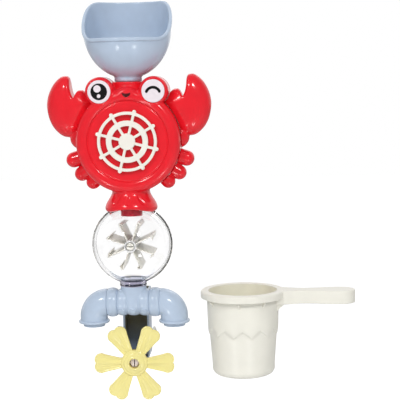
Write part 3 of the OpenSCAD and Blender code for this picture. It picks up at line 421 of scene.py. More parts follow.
# %% The funnel's sizes and its rim line
BOWL_R, BOWL_DEEP, BOWL_WALL = 39.0, 43.0, 1.8
BEAD_OUT, BEAD_H = 1.2, 3.0
NECK_R, NECK_FOOT, SPIGOT_R, SPIGOT_LOW, THROAT_R = 12.2, 52.65, 10.9, 40.4, 9.2
BOWL_U = NECK_FOOT + 4.6 + BOWL_DEEP * math.sqrt(1 - (NECK_R / BOWL_R) ** 2)
RIM_U, RIM_RISE, STEEP, ARC_STEPS = BOWL_U + 9.4, 17.4, 0.7, 56


def rim_line(turn):
    """Height of the funnel's rim at an angle from the front."""
    behind = -np.cos(turn) / STEEP
    return RIM_U + RIM_RISE * np.sin(np.clip(behind, -1, 1) * math.pi / 2)


def bowl_side(radius, deep, neck, foot, low, round_neck):
    """One side of the bowl's wall, from its lowest point up, as radii and heights."""
    start = math.acos(neck / radius) - 0.1
    bend = BOWL_U - deep * math.sqrt(1 - (neck / radius) ** 2)
    curve = np.linspace(-start, 0, ARC_STEPS)
    arc = np.stack([radius * np.cos(curve), BOWL_U + deep * np.sin(curve)], 1)
    neck_part = softened([(neck, low), (neck, bend, round_neck), tuple(arc[0])], steps=6)
    return np.vstack([foot, neck_part[:-1], arc, [[radius, 200]]])


OUTSIDE = bowl_side(BOWL_R, BOWL_DEEP, NECK_R, [[SPIGOT_R, SPIGOT_LOW], [SPIGOT_R, NECK_FOOT]], NECK_FOOT, 2.2)
INSIDE = bowl_side(BOWL_R - BOWL_WALL, BOWL_DEEP - BOWL_WALL, THROAT_R, np.zeros((0, 2)), SPIGOT_LOW, 2.0)
print("widest level", round(BOWL_U, 1), "rim from", round(RIM_U - RIM_RISE, 1), "to", round(RIM_U + RIM_RISE, 1))

# %% The funnel's mesh
COLUMNS = 240


def down_the_wall(side, top_u, top_turn):
    """Radii, angles and heights of one side of the wall. Only the bowl's rows spread with each column's height."""
    length = np.concatenate([[0], np.cumsum(np.hypot(*np.diff(side, axis=0).T))])
    knots, neck = length[:-1], length[-ARC_STEPS - 1]
    share = np.clip((knots - neck) / (knots[-1] - neck), 0, 1)
    reach = np.minimum(knots, neck) + share * (np.interp(top_u, side[:, 1], length)[:, None] - neck)
    turns = turn[:, None] + (top_turn - turn)[:, None] * share ** 0.7
    return np.stack([np.interp(reach, length, side[:, 0]), turns, np.interp(reach, length, side[:, 1])], -1)


turn = np.arange(COLUMNS) * 2 * math.pi / COLUMNS
steep = np.gradient(np.tile(rim_line(turn), 3), turn[1])[COLUMNS:2 * COLUMNS] / BOWL_R
lean = np.arctan(steep)
section = softened([(0, -BEAD_H - 1.2), (0, -BEAD_H, 0.3), (BEAD_OUT, -BEAD_H, 0.45), (BEAD_OUT, 0, 1.3),
                    (-BOWL_WALL, 0, 1.3), (-BOWL_WALL, -BEAD_H)], steps=5)
along = turn[:, None] - section[:, 1] * np.sin(lean)[:, None] / BOWL_R
height = rim_line(turn)[:, None] + section[:, 1] * np.cos(lean)[:, None]
wall_r = np.interp(height, OUTSIDE[:, 1], OUTSIDE[:, 0])
bead = np.stack([wall_r + section[:, 0], along, height], -1)

outer = down_the_wall(OUTSIDE, height[:, 0], along[:, 0])
inner = down_the_wall(INSIDE, height[:, -1], along[:, -1])
sheet = np.concatenate([outer[:, :-1], bead, inner[:, -2::-1]], 1)
funnel = rows("funnel_moulding", at(sheet[..., 0] * np.sin(sheet[..., 1]), sheet[..., 2],
                                    sheet[..., 0] * np.cos(sheet[..., 1])))
dress(funnel, "funnel_part", "blue_plastic", BLUE, replaces=["funnel"])
print("funnel faces:", len(funnel.data.polygons))

# %% [markdown]
# ## The crab's body
# The body is two shells that meet in the middle plane and are screwed together from behind. The front shell is
# a round disc with a raised ring, two pods for the eyes, a small snout, the collar that the funnel turns in and
# a bell-shaped tail. All of it was cut as one flowing cavity, so this is where the distance rule pays. The
# shell's wall is the same rule taken twice, once at the skin and once a wall's thickness further in.

# %% The body's sizes
BODY_R, FRONT_H, BACK_H, FACE_D, RING_R = 46.5, 20.0, 24.0, 18.6, 39.6
WALL = 2.3
SHOULDER = BODY_R - RING_R
GROOVE_R = RING_R - math.sqrt(SHOULDER ** 2 - (FACE_D - FRONT_H + SHOULDER) ** 2)
EYE_X, EYE_U, EYE_R, EYE_T, EYE_SUNK = 23.78, 43.98, 10.2, 1.8, 0.4
POD_R, POD_D, POD_BACK = 13.0, 21.4, 15.0
SNOUT_R, SNOUT_U = 11.5, 36.0
COLLAR_R, COLLAR_TOP = 14.0, 52.4
WAIST_R, WAIST_U, SKIRT_R, SKIRT_U = 17.0, -44.6, 23.5, -63.8
ARCH_RISE = 3.6
SHELF_LOW, SHELF_TOP, GLOBE_NECK_R = -53.6, -50.6, 11.8
BORE_GAP = 0.2
POST_R, POST_RING_R, POST_TURNS = 4.0, 39.6, (34, 146, 218, 322)
PEG_R, LEG_PEG_R, PEG_FROM, PEG_HOLE_END = 5.0, 3.5, 4.0, 60.0
AXLE_BORE_R, BEARING_R, BEARING_BACK, AXLE_END, PARTING_EDGE = 2.55, 6.0, 12.6, 18.6, 0.5
POST_D, SCREW_DEEP, SCREW_BITE_R, SCREW_PASS_R, SCREW_WELL_R, WELL_FLOOR = 17.0, 12.0, 1.4, 1.45, 3.1, 6.0
ARM_TURN, LEG_TURNS, LEG_REACH = 1.0, (-18.0, -33.6, -47.4), (53.5, 52.4, 49.5)


def bar(x, u, d, turn, start, end, radius):
    """A round bar in the middle plane that runs out from the body's middle at an angle, on the +x side."""
    a = math.radians(turn)
    along = x * math.cos(a) + u * math.sin(a)
    across = np.hypot(u * math.cos(a) - x * math.sin(a), d)
    return np.maximum(across - radius, np.maximum(start - along, along - end))


def tail(x, u, d):
    """The bell-shaped tail: a waist that swells to a skirt with a rounded, arched lower edge."""
    share = np.clip((WAIST_U - u) / (WAIST_U - SKIRT_U - 3.6), 0, 1)
    radius = WAIST_R + (SKIRT_R - WAIST_R) * (1 - np.cos(math.pi * share)) / 2
    bell = both(0.93 * (np.hypot(x, d) - radius), SKIRT_U - u, 4.0)
    arch_half = SKIRT_R - 5.4
    arch_r = (arch_half ** 2 + ARCH_RISE ** 2) / (2 * ARCH_RISE)
    arch = np.hypot(x, u - (SKIRT_U + ARCH_RISE - arch_r)) - arch_r
    return without(np.maximum(bell, u + SNOUT_U), arch, 1.6)


def tail_drops(x, u, d):
    """Depth, from 0 to 1, of the three drop-shaped hollows that fan out over the tail's face."""
    share = np.clip((u - (WAIST_U - 12.2)) / 9.4, 0, 1.06)
    half = 6.6 * np.sqrt(share) * (1.06 - share) ** 1.3
    turn = np.degrees(np.arctan2(x, np.abs(d) + 1e-9))
    depth = 0
    for side in (-1, 0, 1):
        off = np.abs(turn - side * (38 - 14 * share)) * math.radians(20.5)
        depth = np.maximum(depth, np.clip((half - off) / 0.9, 0, 1))
    return depth


print("body sizes set")

# %% The front shell's rule
MOUTH_U, MOUTH_HALF, SMILE_LIFT, SMILE_DEEP, MOUTH_DEEP = SNOUT_U + 6.0, 3.7, 0.9, 4.1, 0.6
GROOVE_DEEP, GROOVE_EDGE, SNOUT_EDGE, SNOUT_FILLET = 0.6, 0.3, 4.0, 1.6
COLLAR_EDGE, COLLAR_FILLET, DROP_DEEP, TAIL_FILLET = 0.9, 2.5, 0.8, 1.6
POD_EDGE, POD_FILLET, EYE_FLOOR = 6.0, 1.4, 2.4


def mouth_gap(x, u):
    """How far a point lies outside the smile, between an upper and a deeper lower curve."""
    share = np.clip(np.abs(x) / MOUTH_HALF, 0, 1)
    upper = MOUTH_U + SMILE_LIFT * share ** 2
    lower = MOUTH_U + SMILE_LIFT - SMILE_DEEP * np.sqrt(np.maximum(1 - share ** 2, 0))
    return np.maximum(np.maximum(u - upper, lower - u), np.abs(x) - MOUTH_HALF)


def from_eye(x, u):
    """Distance from the middle of the nearer eye, seen from the front."""
    return np.hypot(np.abs(x) - EYE_X, u - EYE_U)


def with_fittings(x, u, d, form, pod_low, pod_high, pod_edge, pod_fillet):
    """Adds to a body's disc what front and back share: the collar, the pods and the tail."""
    form = either(form, plate(np.hypot(x, d) - COLLAR_R, u, 0, COLLAR_TOP, COLLAR_EDGE), COLLAR_FILLET)
    form = either(form, plate(from_eye(x, u) - POD_R, d, pod_low, pod_high, pod_edge), pod_fillet)
    return either(form, tail(x, u, d) + DROP_DEEP * tail_drops(x, u, d), TAIL_FILLET)


def front_form(x, u, d):
    """The outside of the body's front, before it is hollowed."""
    r = np.hypot(x, u)
    ring = np.hypot(r - RING_R, np.maximum(d - (FRONT_H - SHOULDER), 0)) - SHOULDER
    form = either(ring, np.maximum(r - RING_R, d - FACE_D), GROOVE_EDGE)
    form = without(form, np.hypot(r - GROOVE_R, d - FACE_D) - GROOVE_DEEP, GROOVE_EDGE)
    snout = plate(np.hypot(x, u - SNOUT_U) - SNOUT_R, d, -8, FRONT_H, SNOUT_EDGE)
    form = either(form, both(snout, RING_R - 2.4 - r, 1.2), SNOUT_FILLET)
    return with_fittings(x, u, d, form, -FAR, POD_D, POD_EDGE, POD_FILLET)


def shared_room(x, u, d, form, hollow):
    """Takes the hollow, the collar's bore, the tail's bell and shelf, and the pegs' holes out of a body shell."""
    shelf = np.maximum(np.maximum(SHELF_LOW - u, u - SHELF_TOP), GLOBE_NECK_R + SEAT_GAP - np.hypot(x, d))
    form = without(form, without(hollow, shelf))
    bore = np.maximum(np.hypot(x, d) - SPIGOT_R - BORE_GAP, 31 - u)
    form = without(form, bore)
    side = np.abs(x)
    form = without(form, bar(side, u, d, ARM_TURN, BODY_R - PEG_FROM, PEG_HOLE_END, PEG_R + SEAT_GAP))
    for turn in LEG_TURNS:
        form = without(form, bar(side, u, d, turn, BODY_R - PEG_FROM, PEG_HOLE_END, LEG_PEG_R + SEAT_GAP))
    return form


def posts(x, u, radius):
    """Distance outside the four screw posts, seen from the front."""
    found = 1e3
    for turn in POST_TURNS:
        a = math.radians(turn)
        found = np.minimum(found, np.hypot(x - POST_RING_R * math.cos(a), u - POST_RING_R * math.sin(a)))
    return found - radius


def front_rule(x, u, d):
    """The whole front shell: skin, wall, eye recesses, mouth, screw posts and the axle's bearing."""
    r, recess = np.hypot(x, u), POD_D - EYE_T - EYE_SUNK
    form = front_form(x, u, d)
    shell = shared_room(x, u, d, form, np.maximum(form + WALL, d - (recess - EYE_FLOOR)))
    shell = np.minimum(shell, np.maximum(posts(x, u, POST_R), np.maximum(d - POST_D, r - BODY_R + 1)))
    shell = without(shell, np.maximum(posts(x, u, SCREW_BITE_R), d - SCREW_DEEP))
    shell = np.minimum(shell, plate(r - BEARING_R, d, BEARING_BACK, FACE_D + 1.2, 0.3))
    shell = without(shell, r - AXLE_BORE_R)
    shell = without(shell, np.maximum(from_eye(x, u) - EYE_R - SEAT_GAP, recess - d), 0.5)
    shell = without(shell, np.maximum(mouth_gap(x, u), FRONT_H - MOUTH_DEEP - d), 0.3)
    return both(shell, SHAFT_GAP / 2 - d, PARTING_EDGE)


front_shell = skin("front_body_moulding", front_rule, (-49, -66, -1), (49, 60, 24), 0.64)

# %% [markdown]
# The mouth is a shallow smile whose floor is painted dark. Paint has a crisp edge that no mesh of this cell size
# can hold, so the red finish gets a mask: a small chain of arithmetic on object coordinates that is one inside
# the two curves of the smile and nought outside. The recess itself stays real geometry.

# %% Paint the smile


def sum_of(tree, action, a, b=0.0):
    """One step of arithmetic between sockets or numbers."""
    node = tree.nodes.new("ShaderNodeMath")
    node.operation = action
    for socket, value in zip(node.inputs, (a, b)):
        if isinstance(value, (int, float)):
            socket.default_value = value
        else:
            tree.links.new(value, socket)
    return node.outputs[0]


MOUTH_PAINT, PAINT_FROM = (74, 2, 6), FACE_D - 3


def painted_smile(base):
    """A copy of the red finish with the smile painted dark."""
    mat = base.copy()
    mat.name = "red plastic with painted mouth"
    tree = mat.node_tree
    place = object_axes(tree)
    across = sum_of(tree, "DIVIDE", place["X"], MOUTH_HALF * MM)
    up = sum_of(tree, "SUBTRACT", sum_of(tree, "DIVIDE", place["Z"], MM), MOUTH_U)
    square = sum_of(tree, "MULTIPLY", across, across)
    dip = sum_of(tree, "SQRT", sum_of(tree, "MAXIMUM", sum_of(tree, "SUBTRACT", 1.0, square), 0.0))
    lower = sum_of(tree, "SUBTRACT", SMILE_LIFT, sum_of(tree, "MULTIPLY", dip, SMILE_DEEP))
    mask = sum_of(tree, "LESS_THAN", up, sum_of(tree, "MULTIPLY", square, SMILE_LIFT))
    for test, value, limit in (("GREATER_THAN", up, lower), ("LESS_THAN", square, 1.0),
                               ("LESS_THAN", place["Y"], -(MID + PAINT_FROM) * MM)):
        mask = sum_of(tree, "MULTIPLY", mask, sum_of(tree, test, value, limit))
    mix_in(mat, mask, MOUTH_PAINT)
    return mat


dress(front_shell, "root", "red_plastic", painted_smile(RED), replaces=["front_shell"])
print("front shell dressed")

# %% [markdown]
# ## The back shell
# Behind the parting plane the body is a plain pan with a generous round at its edge. It has the rear of the
# pods, collar and tail, four deep screw wells and two sockets that the necks of the suction cups snap into.

# %% The back shell
BACK_ROUND, POD_EDGE_BACK, POD_FILLET_BACK = 6.0, 6.5, 2.0
SUCTION_X, SUCTION_NECK_R, SOCKET_RING_R, SOCKET_RING_D, SOCKET_FLOOR = 22.5, 5.0, 9.6, 16.7, 15.0


def back_rule(x, u, d):
    """The whole back shell, made like the front one."""
    r, behind, socket_r = np.hypot(x, u), -d - BACK_H, np.hypot(np.abs(x) - SUCTION_X, u)
    form = plate(r - BODY_R, d, -BACK_H, FAR, BACK_ROUND)
    form = with_fittings(x, u, d, form, -POD_BACK, FAR, POD_EDGE_BACK, POD_FILLET_BACK)
    shell = shared_room(x, u, d, form, form + WALL)
    shell = np.minimum(shell, np.maximum(posts(x, u, POST_R), np.maximum(behind + 4, r - BODY_R + 1)))
    shell = np.minimum(shell, np.maximum(r - BEARING_R, np.maximum(d + BEARING_BACK, behind + 1)))
    shell = without(shell, np.maximum(r - AXLE_BORE_R, -d - AXLE_END))
    shell = np.minimum(shell, np.maximum(socket_r - SOCKET_RING_R, np.maximum(d + SOCKET_RING_D, behind + 1)))
    shell = without(shell, np.maximum(socket_r - SUCTION_NECK_R - SEAT_GAP, d + SOCKET_FLOOR), 0.4)
    shell = without(shell, np.maximum(posts(x, u, SCREW_PASS_R), d - 5))
    shell = without(shell, np.maximum(posts(x, u, SCREW_WELL_R), d + WELL_FLOOR), 0.4)
    return both(shell, SHAFT_GAP / 2 + d, PARTING_EDGE)


back_shell = skin("back_body_moulding", back_rule, (-49, -66, -26), (49, 60, 1), 0.7)
dress(back_shell, "root", "red_plastic", RED, replaces=["back_shell"])

# %% [markdown]
# ## Claws
# Seen from the front a claw is a thick crescent with a stubby thumb. Seen from the side it is a plump pillow, and
# the notch between finger and thumb is cut straight through it. So the outline is drawn first, as a smooth curve
# through a few places. How far a point lies inside that outline gives the pillow its rounded edge. The distances
# are worked out once on a fine flat grid and smoothed a little, which takes away the ridge that a plain distance
# leaves along the middle of the finger. The notch has its own outline, and is cut with a small rounding.

# %% Smooth outlines and their distance tables


def smooth_curve(stations, count, closed=False):
    """Many places along a smooth curve through a few stations."""
    knots = np.array(stations, float)
    before, after = knots[-1:], knots[:2]
    if not closed:
        before, after = 2 * knots[:1] - knots[1:2], 2 * knots[-1:] - knots[-2:-1]
    ends, spans = np.vstack([before, knots, after]), len(knots) - (not closed)
    t = np.linspace(0, spans - 1e-6, count, endpoint=not closed)
    i, f = t.astype(int)[:, None], (t % 1)[:, None]
    p0, p1, p2, p3 = (ends[(i + k)[:, 0]] for k in range(4))
    return 0.5 * (2 * p1 + (p2 - p0) * f + (2 * p0 - 5 * p1 + 4 * p2 - p3) * f ** 2
                  + (3 * p1 - p0 - 3 * p2 + p3) * f ** 3)


TABLE_STEP, TABLE_EDGE = 0.25, 6.0


def distance_table(outline, smoothing=0):
    """A look-up of how far any place lies outside a closed outline, from a smoothed grid of distances."""
    low, high = outline.min(0) - TABLE_EDGE, outline.max(0) + TABLE_EDGE
    across, up = (np.arange(low[i], high[i], TABLE_STEP) for i in range(2))
    x, u = np.meshgrid(across, up, indexing="ij")
    near, inside = np.full(x.shape, 1e6), np.zeros(x.shape, bool)
    for a, b in zip(outline, np.roll(outline, -1, 0)):
        run = b - a
        t = np.clip(((x - a[0]) * run[0] + (u - a[1]) * run[1]) / (run @ run), 0, 1)
        near = np.minimum(near, np.hypot(x - a[0] - t * run[0], u - a[1] - t * run[1]))
        if run[1]:
            inside ^= ((a[1] > u) != (b[1] > u)) & (x < a[0] + (u - a[1]) * run[0] / run[1])
    table = np.where(inside, -near, near)
    for _ in range(smoothing):
        table[1:-1] = (table[:-2] + 2 * table[1:-1] + table[2:]) / 4
        table[:, 1:-1] = (table[:, :-2] + 2 * table[:, 1:-1] + table[:, 2:]) / 4

    def side(x, u):
        i, j = (np.clip((v - low[k]) / TABLE_STEP, 0, table.shape[k] - 1.001) for k, v in enumerate((x, u)))
        i0, j0 = i.astype(int), j.astype(int)
        i, j = i - i0, j - j0
        return ((table[i0, j0] * (1 - i) + table[i0 + 1, j0] * i) * (1 - j)
                + (table[i0, j0 + 1] * (1 - i) + table[i0 + 1, j0 + 1] * i) * j)
    return side


# %% The claws
CLAW_HALF, CLAW_EDGE, NOTCH_EDGE = 11.4, 17.0, 2.4
CLAW = ((56.8, 58.5), (60.0, 57.8), (63.7, 55.1), (67.3, 51.2), (70.2, 46.2), (72.4, 40.8), (73.5, 35.2),
        (73.7, 31.3), (72.9, 24.9), (71.0, 18.2), (67.8, 12.3), (63.5, 7.6), (59.3, 4.8), (55.0, 3.9), (50.0, 4.4),
        (45.0, 8.0), (41.0, 14.0), (35.5, 24.0), (31.0, 33.0), (32.5, 38.6), (36.4, 41.8), (38.3, 43.5),
        (40.7, 45.4), (42.8, 47.0), (45.5, 52.0), (50.5, 57.0))
NOTCH = ((52.2, 60.0), (52.1, 56.2), (51.95, 53.0), (51.8, 49.3), (51.25, 45.3), (50.25, 41.9), (48.75, 39.25),
         (47.5, 41.7), (45.8, 44.7), (44.5, 45.85), (42.6, 46.4), (40.0, 48.0))
ARM_X, ARM_U, ARM_R, ARM_HALF, LIMB_EDGE = 43.5, 3.0, 10.2, 9.0, 0.6
claw_side = distance_table(smooth_curve(CLAW, 240, closed=True), smoothing=30)
notch_side = distance_table(np.vstack([smooth_curve(NOTCH, 90), [(40, 70), (52.2, 70)]]))


def claw_rule(x, u, d):
    """One claw on the +x side, or on both when x is taken without its sign."""
    x = np.abs(x)
    inward = np.maximum(claw_side(x, u) - 0.1 + CLAW_EDGE, 0) / CLAW_EDGE
    palm = 0.9 * CLAW_HALF * (np.hypot(inward, d / CLAW_HALF) - 1)
    palm = without(palm, notch_side(x, u), NOTCH_EDGE)
    arm = np.sqrt((x - ARM_X) ** 2 + (u - ARM_U) ** 2 + (d * ARM_R / ARM_HALF) ** 2) - ARM_R
    peg = bar(x, u, d, ARM_TURN, BODY_R - WALL + 0.1, BODY_R + 4, PEG_R)
    return np.minimum(beside_body(x, u, either(palm, arm, 0.8)), peg)


def beside_body(x, u, form):
    """Keeps a limb out of the body's disc and pods, with a seam's gap round them."""
    form = without(form, np.hypot(x, u) - BODY_R - SEAM, LIMB_EDGE)
    return without(form, from_eye(x, u) - POD_R - SEAM, LIMB_EDGE)


for side, low, high in (("left", -77, -30), ("right", 30, 77)):
    claw = skin(f"{side}_claw_moulding", claw_rule, (low, -11, -14), (high, 62, 14), 0.55)
    dress(claw, "root", "red_plastic", RED, replaces=[f"{side}_claw"])

# %% [markdown]
# ## Legs
# Three short round-ended legs stand on each side of the body, moulded as one piece with a crease between them.

# %% Legs
FOOT_R = (7.0, 6.6, 6.4)


def leg_rule(x, u, d):
    """Three legs on the +x side, or on both when x is taken without its sign."""
    x = np.abs(x)
    legs, pegs = 1e3, 1e3
    for turn, reach, foot in zip(LEG_TURNS, LEG_REACH, FOOT_R):
        a = math.radians(turn)
        along = np.clip(x * math.cos(a) + u * math.sin(a), 30, reach + 6.9 - foot)
        leg = np.sqrt((x - along * math.cos(a)) ** 2 + (u - along * math.sin(a)) ** 2 + d ** 2) - foot
        legs = leg if np.ndim(legs) == 0 else either(legs, leg, 0.7)
        pegs = np.minimum(pegs, bar(x, u, d, turn, BODY_R - WALL + 0.1, BODY_R + 3, LEG_PEG_R))
    return np.minimum(beside_body(x, u, legs), pegs)


for side, low, high in (("left", -63, -25), ("right", 25, 63)):
    legs = skin(f"{side}_legs_moulding", leg_rule, (low, -47, -9), (high, -3, 9), 0.5)
    dress(legs, "root", "red_plastic", RED, replaces=[f"{side}_legs"])

# %% [markdown]
# ## The face
# Each eye is a white disc set into its pod, with a slightly rounded edge. The pupil and the wink are printed in
# thick gloss ink, so each stands a little proud of its disc. Both prints are small plates with holes or bent
# strokes, which the distance rule draws as easily as the body.

# %% Eye discs and prints
EYE_TOP = POD_D - EYE_SUNK
PUPIL_R, WINK_R, WINK_W, PRINT_T, PRINT_SUNK, PRINT_EDGE = 7.3, 6.3, 2.5, 0.2, 0.3, 0.12
GLINTS = ((-1.5, 2.6, 3.2), (-0.2, -3.7, 1.65))
disc = softened([(0, EYE_TOP - EYE_T), (EYE_R, EYE_TOP - EYE_T, 0.3), (EYE_R, EYE_TOP, 0.7), (0, EYE_TOP)])


def pupil_rule(x, u, d):
    """Round pupil with two glints left open."""
    side = np.hypot(x + EYE_X, u - EYE_U) - PUPIL_R
    for dx, du, r in GLINTS:
        side = np.maximum(side, r - np.hypot(x + EYE_X - dx, u - EYE_U - du))
    return plate(side, d, EYE_TOP - PRINT_SUNK, EYE_TOP + PRINT_T, PRINT_EDGE)


def wink_rule(x, u, d):
    """An arc with round ends, like a shut and smiling eye."""
    across, up = x - EYE_X, u - EYE_U + WINK_R / 2
    turn = np.clip(np.arctan2(up, across), math.radians(25), math.radians(155))
    side = np.hypot(across - WINK_R * np.cos(turn), up - WINK_R * np.sin(turn)) - WINK_W / 2
    return plate(side, d, EYE_TOP - PRINT_SUNK, EYE_TOP + PRINT_T, PRINT_EDGE)


for side, sign in (("left", -1), ("right", 1)):
    eye = lathe(f"{side}_eye_disc", disc, facing(sign * EYE_X, EYE_U), turns=120)
    dress(eye, "root", "white_plastic", WHITE, replaces=[f"{side}_eye"])
pupil = skin("left_eye_pupil", pupil_rule, (-32.5, 35, 20.2), (-15, 53, 21.8), 0.2)
dress(pupil, "root", "black_print", INK, replaces=["left_eye_print"])
wink = skin("right_eye_wink", wink_rule, (15, 39, 20.2), (32.5, 51, 21.8), 0.2)
dress(wink, "root", "black_print", INK, replaces=["right_eye_print"])

# %% [markdown]
# ## The helm
# The cream helm is one flat moulding with rounded edges: two rings, eight spokes with a round knob outside the
# rim, and a thicker hub. Because all of it is one flat outline, the angle round the hub is folded into a single
# spoke's share, and the rule is written for that one spoke.

# %% The helm
HELM_BACK, HELM_T, HELM_TURN, SPOKES = 20.05, 2.6, 30.0, 8
HELM_R, HELM_RIM, HELM_MID_R, HELM_MID_W, HELM_HUB_R = 26.4, 2.7, 18.6, 4.9, 7.3
KNOB_R, KNOB_REACH, SPOKE_HALF = 1.7, 28.6, 1.2


def folded(x, u, count, first):
    """Distance along and across the nearest of several equal arms, the first of which stands at an angle."""
    share = 2 * math.pi / count
    a = np.arctan2(u, x) - math.radians(first)
    a = (a + share / 2) % share - share / 2
    r = np.hypot(x, u)
    return r * np.cos(a), r * np.sin(a)


def helm_rule(x, u, d):
    """The helm, with a blind hole for its axle."""
    r = np.hypot(x, u)
    along, across = folded(x, u, SPOKES, HELM_TURN)
    rim = np.abs(r - HELM_R + HELM_RIM / 2) - HELM_RIM / 2
    middle = np.abs(r - HELM_MID_R + HELM_MID_W / 2) - HELM_MID_W / 2
    spoke = np.maximum(np.abs(across) - SPOKE_HALF, along - KNOB_REACH + KNOB_R)
    knob = np.hypot(along - KNOB_REACH + KNOB_R, across) - KNOB_R
    outline = either(either(rim, middle), either(spoke, knob, 0.4), 0.6)
    wheel = plate(outline, d, HELM_BACK, HELM_BACK + HELM_T, 0.45)
    hub = plate(r - HELM_HUB_R, d, HELM_BACK, HELM_BACK + 1.2 * HELM_T, 0.5)
    return without(np.minimum(wheel, hub), np.maximum(r - AXLE_BORE_R, d - HELM_BACK - 0.7 * HELM_T))


helm = skin("helm_moulding", helm_rule, (-30, -30, 19), (30, 30, 24.2), 0.4)
dress(helm, "helm", "cream_plastic", CREAM, replaces=["ship_wheel"])

# %% [markdown]
# ## The clear globe
# The globe is moulded in two halves that meet in the toy's middle plane, where a thin flange runs round both. A
# neck with a flange hangs in the crab's tail, and a spigot below plugs into the pipe. The wall is real: an outer
# and an inner skin with the boss of the wheel's pin behind.

# %% The globe's halves
GLOBE_U, GLOBE_R, GLOBE_WALL, NECK_TOP = -93.5, 35.2, 1.6, -48.35
NECK_FLANGE_R, NECK_FLANGE_T, SOCKET_TOP, GLOBE_SPIGOT_R, GLOBE_SPIGOT_LOW = 13.4, 2.0, -131.5, 9.9, -137.5
SEAM_PROUD, SEAM_HALF, PIN_BOSS_R, PIN_BOSS_FACE, NECK_RINGS = 1.3, 1.1, 4.4, -19.4, (-127.6, -130.4)


def globe_rule(x, u, d):
    """The whole globe, before it is parted."""
    r, ball = np.hypot(x, d), np.sqrt(x * x + (u - GLOBE_U) ** 2 + d * d)
    body = either(ball - GLOBE_R, np.maximum(r - GLOBE_NECK_R, np.maximum(u - NECK_TOP, SOCKET_TOP - u)), 1.0)
    body = np.minimum(body, plate(r - NECK_FLANGE_R, u, NECK_TOP - NECK_FLANGE_T, NECK_TOP, 0.4))
    body = np.minimum(body, np.maximum(r - GLOBE_SPIGOT_R, np.maximum(GLOBE_SPIGOT_LOW - u, u - SOCKET_TOP - 1)))
    for ring_u in NECK_RINGS:
        body = either(body, plate(r - GLOBE_NECK_R - 0.5, u, ring_u - 0.7, ring_u + 0.7, 0.4), 0.3)
    seam = plate(np.hypot(x, u - GLOBE_U) - GLOBE_R - SEAM_PROUD, d, -SEAM_HALF, SEAM_HALF, 0.35)
    body = either(body, seam, 0.4)
    room = either(ball - GLOBE_R + GLOBE_WALL, np.maximum(r - GLOBE_NECK_R + GLOBE_WALL, GLOBE_U - u), 1.0)
    room = either(room, np.maximum(r - GLOBE_SPIGOT_R + GLOBE_WALL, u - GLOBE_U), 1.0)
    return without(body, room)


def globe_back_rule(x, u, d):
    """The rear half, with the boss that holds the wheel's pin."""
    off = np.hypot(x, u - GLOBE_U)
    boss = both(np.maximum(off - PIN_BOSS_R, d - PIN_BOSS_FACE),
                np.sqrt(off ** 2 + d * d) - GLOBE_R + GLOBE_WALL / 2)
    half = np.minimum(both(globe_rule(x, u, d), d + 0.015), boss)
    return without(half, np.maximum(off - 2.6, PIN_BOSS_FACE - 8 - d))


def globe_front_rule(x, u, d):
    """The front half."""
    return both(globe_rule(x, u, d), 0.015 - d)


for side, rule, low, high in (("front", globe_front_rule, -1, 37), ("back", globe_back_rule, -37, 1)):
    half = skin(f"globe_{side}_half", rule, (-38, -139, low), (38, -46.5, high), 0.7)
    dress(half, "root", "clear_plastic", CLEAR, replaces=[f"globe_{side}"])

# %% [markdown]
# ## Wheels of equal blades
# The wheel in the globe and the paddles behind the flower are the same thing twice: one hooked blade, repeated
# round a hub. A Geometry Nodes group does the repeating. It makes one point for each blade, puts the blade there
# turned by the point's number, moves the whole to its centre, and turns the copies into real geometry. The
# blade itself is an outline given thickness and rounded edges.

# %% One blade, and the node group that repeats it


def slab(name, outline, low, high, edge, place):
    """A flat moulding from a closed outline, with rounded edges between its two faces."""
    outline = np.asarray(outline, float)
    run = np.roll(outline, -1, 0) - np.roll(outline, 1, 0)
    out = np.stack([run[:, 1], -run[:, 0]], 1) / np.hypot(*run.T)[:, None]
    bends = [(math.sin(a), math.cos(a)) for a in np.linspace(0, math.pi / 2, 4)]
    levels = [(low + edge * (1 - c), edge * (1 - s)) for s, c in bends]
    levels += [(high - edge * (1 - c), edge * (1 - s)) for s, c in bends[::-1]]
    grid = np.array([place(*(outline - out * inset).T, level) for level, inset in levels])
    m, n = grid.shape[:2]
    faces = [[i * n + j, (i + 1) * n + j, (i + 1) * n + (j + 1) % n, i * n + (j + 1) % n]
             for i in range(m - 1) for j in range(n)]
    faces += [list(range(n)), list(range((m - 1) * n, m * n))]
    return piece(name, grid, faces)


def hooked(start, reach, thick, hook, turn):
    """Outline of a blade along +x whose end is bent down into a hook."""
    a = math.radians(turn)
    down, side = np.array([-math.sin(a), -math.cos(a)]), np.array([math.cos(a), -math.sin(a)])
    corner = np.array([reach - thick, 0.0])
    tip = corner + down * hook
    knee = corner + side * thick
    bend = (reach - 0.2, thick / 2)
    return softened([(start, -thick / 2), (*(corner + np.array([0, -thick / 2])), 0.3), (*tip, 0.5),
                     (*(tip + side * thick), 0.5), (*knee, 0.4), (*bend, 0.6), (start, thick / 2)], steps=3)


def node_group(name, inputs, kinds, links, actions=()):
    """A node group from its inputs, the kinds of its nodes, their links, and what its arithmetic nodes do."""
    tree = bpy.data.node_groups.new(name, "GeometryNodeTree")
    tree.interface.new_socket("Geometry", in_out="OUTPUT", socket_type="NodeSocketGeometry")
    for label, kind in inputs:
        tree.interface.new_socket(label, in_out="INPUT", socket_type="NodeSocket" + kind)
    for label, kind in kinds:
        tree.nodes.new(kind).name = label
    for label, action in actions:
        tree.nodes[label].operation = action
    for source, out, target, into in links:
        tree.links.new(tree.nodes[source].outputs[out], tree.nodes[target].inputs[into])
    return tree


ENDS = (("given", "NodeGroupInput"), ("result", "NodeGroupOutput"), ("copies", "GeometryNodeInstanceOnPoints"),
        ("real", "GeometryNodeRealizeInstances"), ("painted", "GeometryNodeSetMaterial"))
LAST_LINKS = (("real", 0, "painted", "Geometry"), ("given", "Finish", "painted", "Material"),
              ("painted", 0, "result", 0))


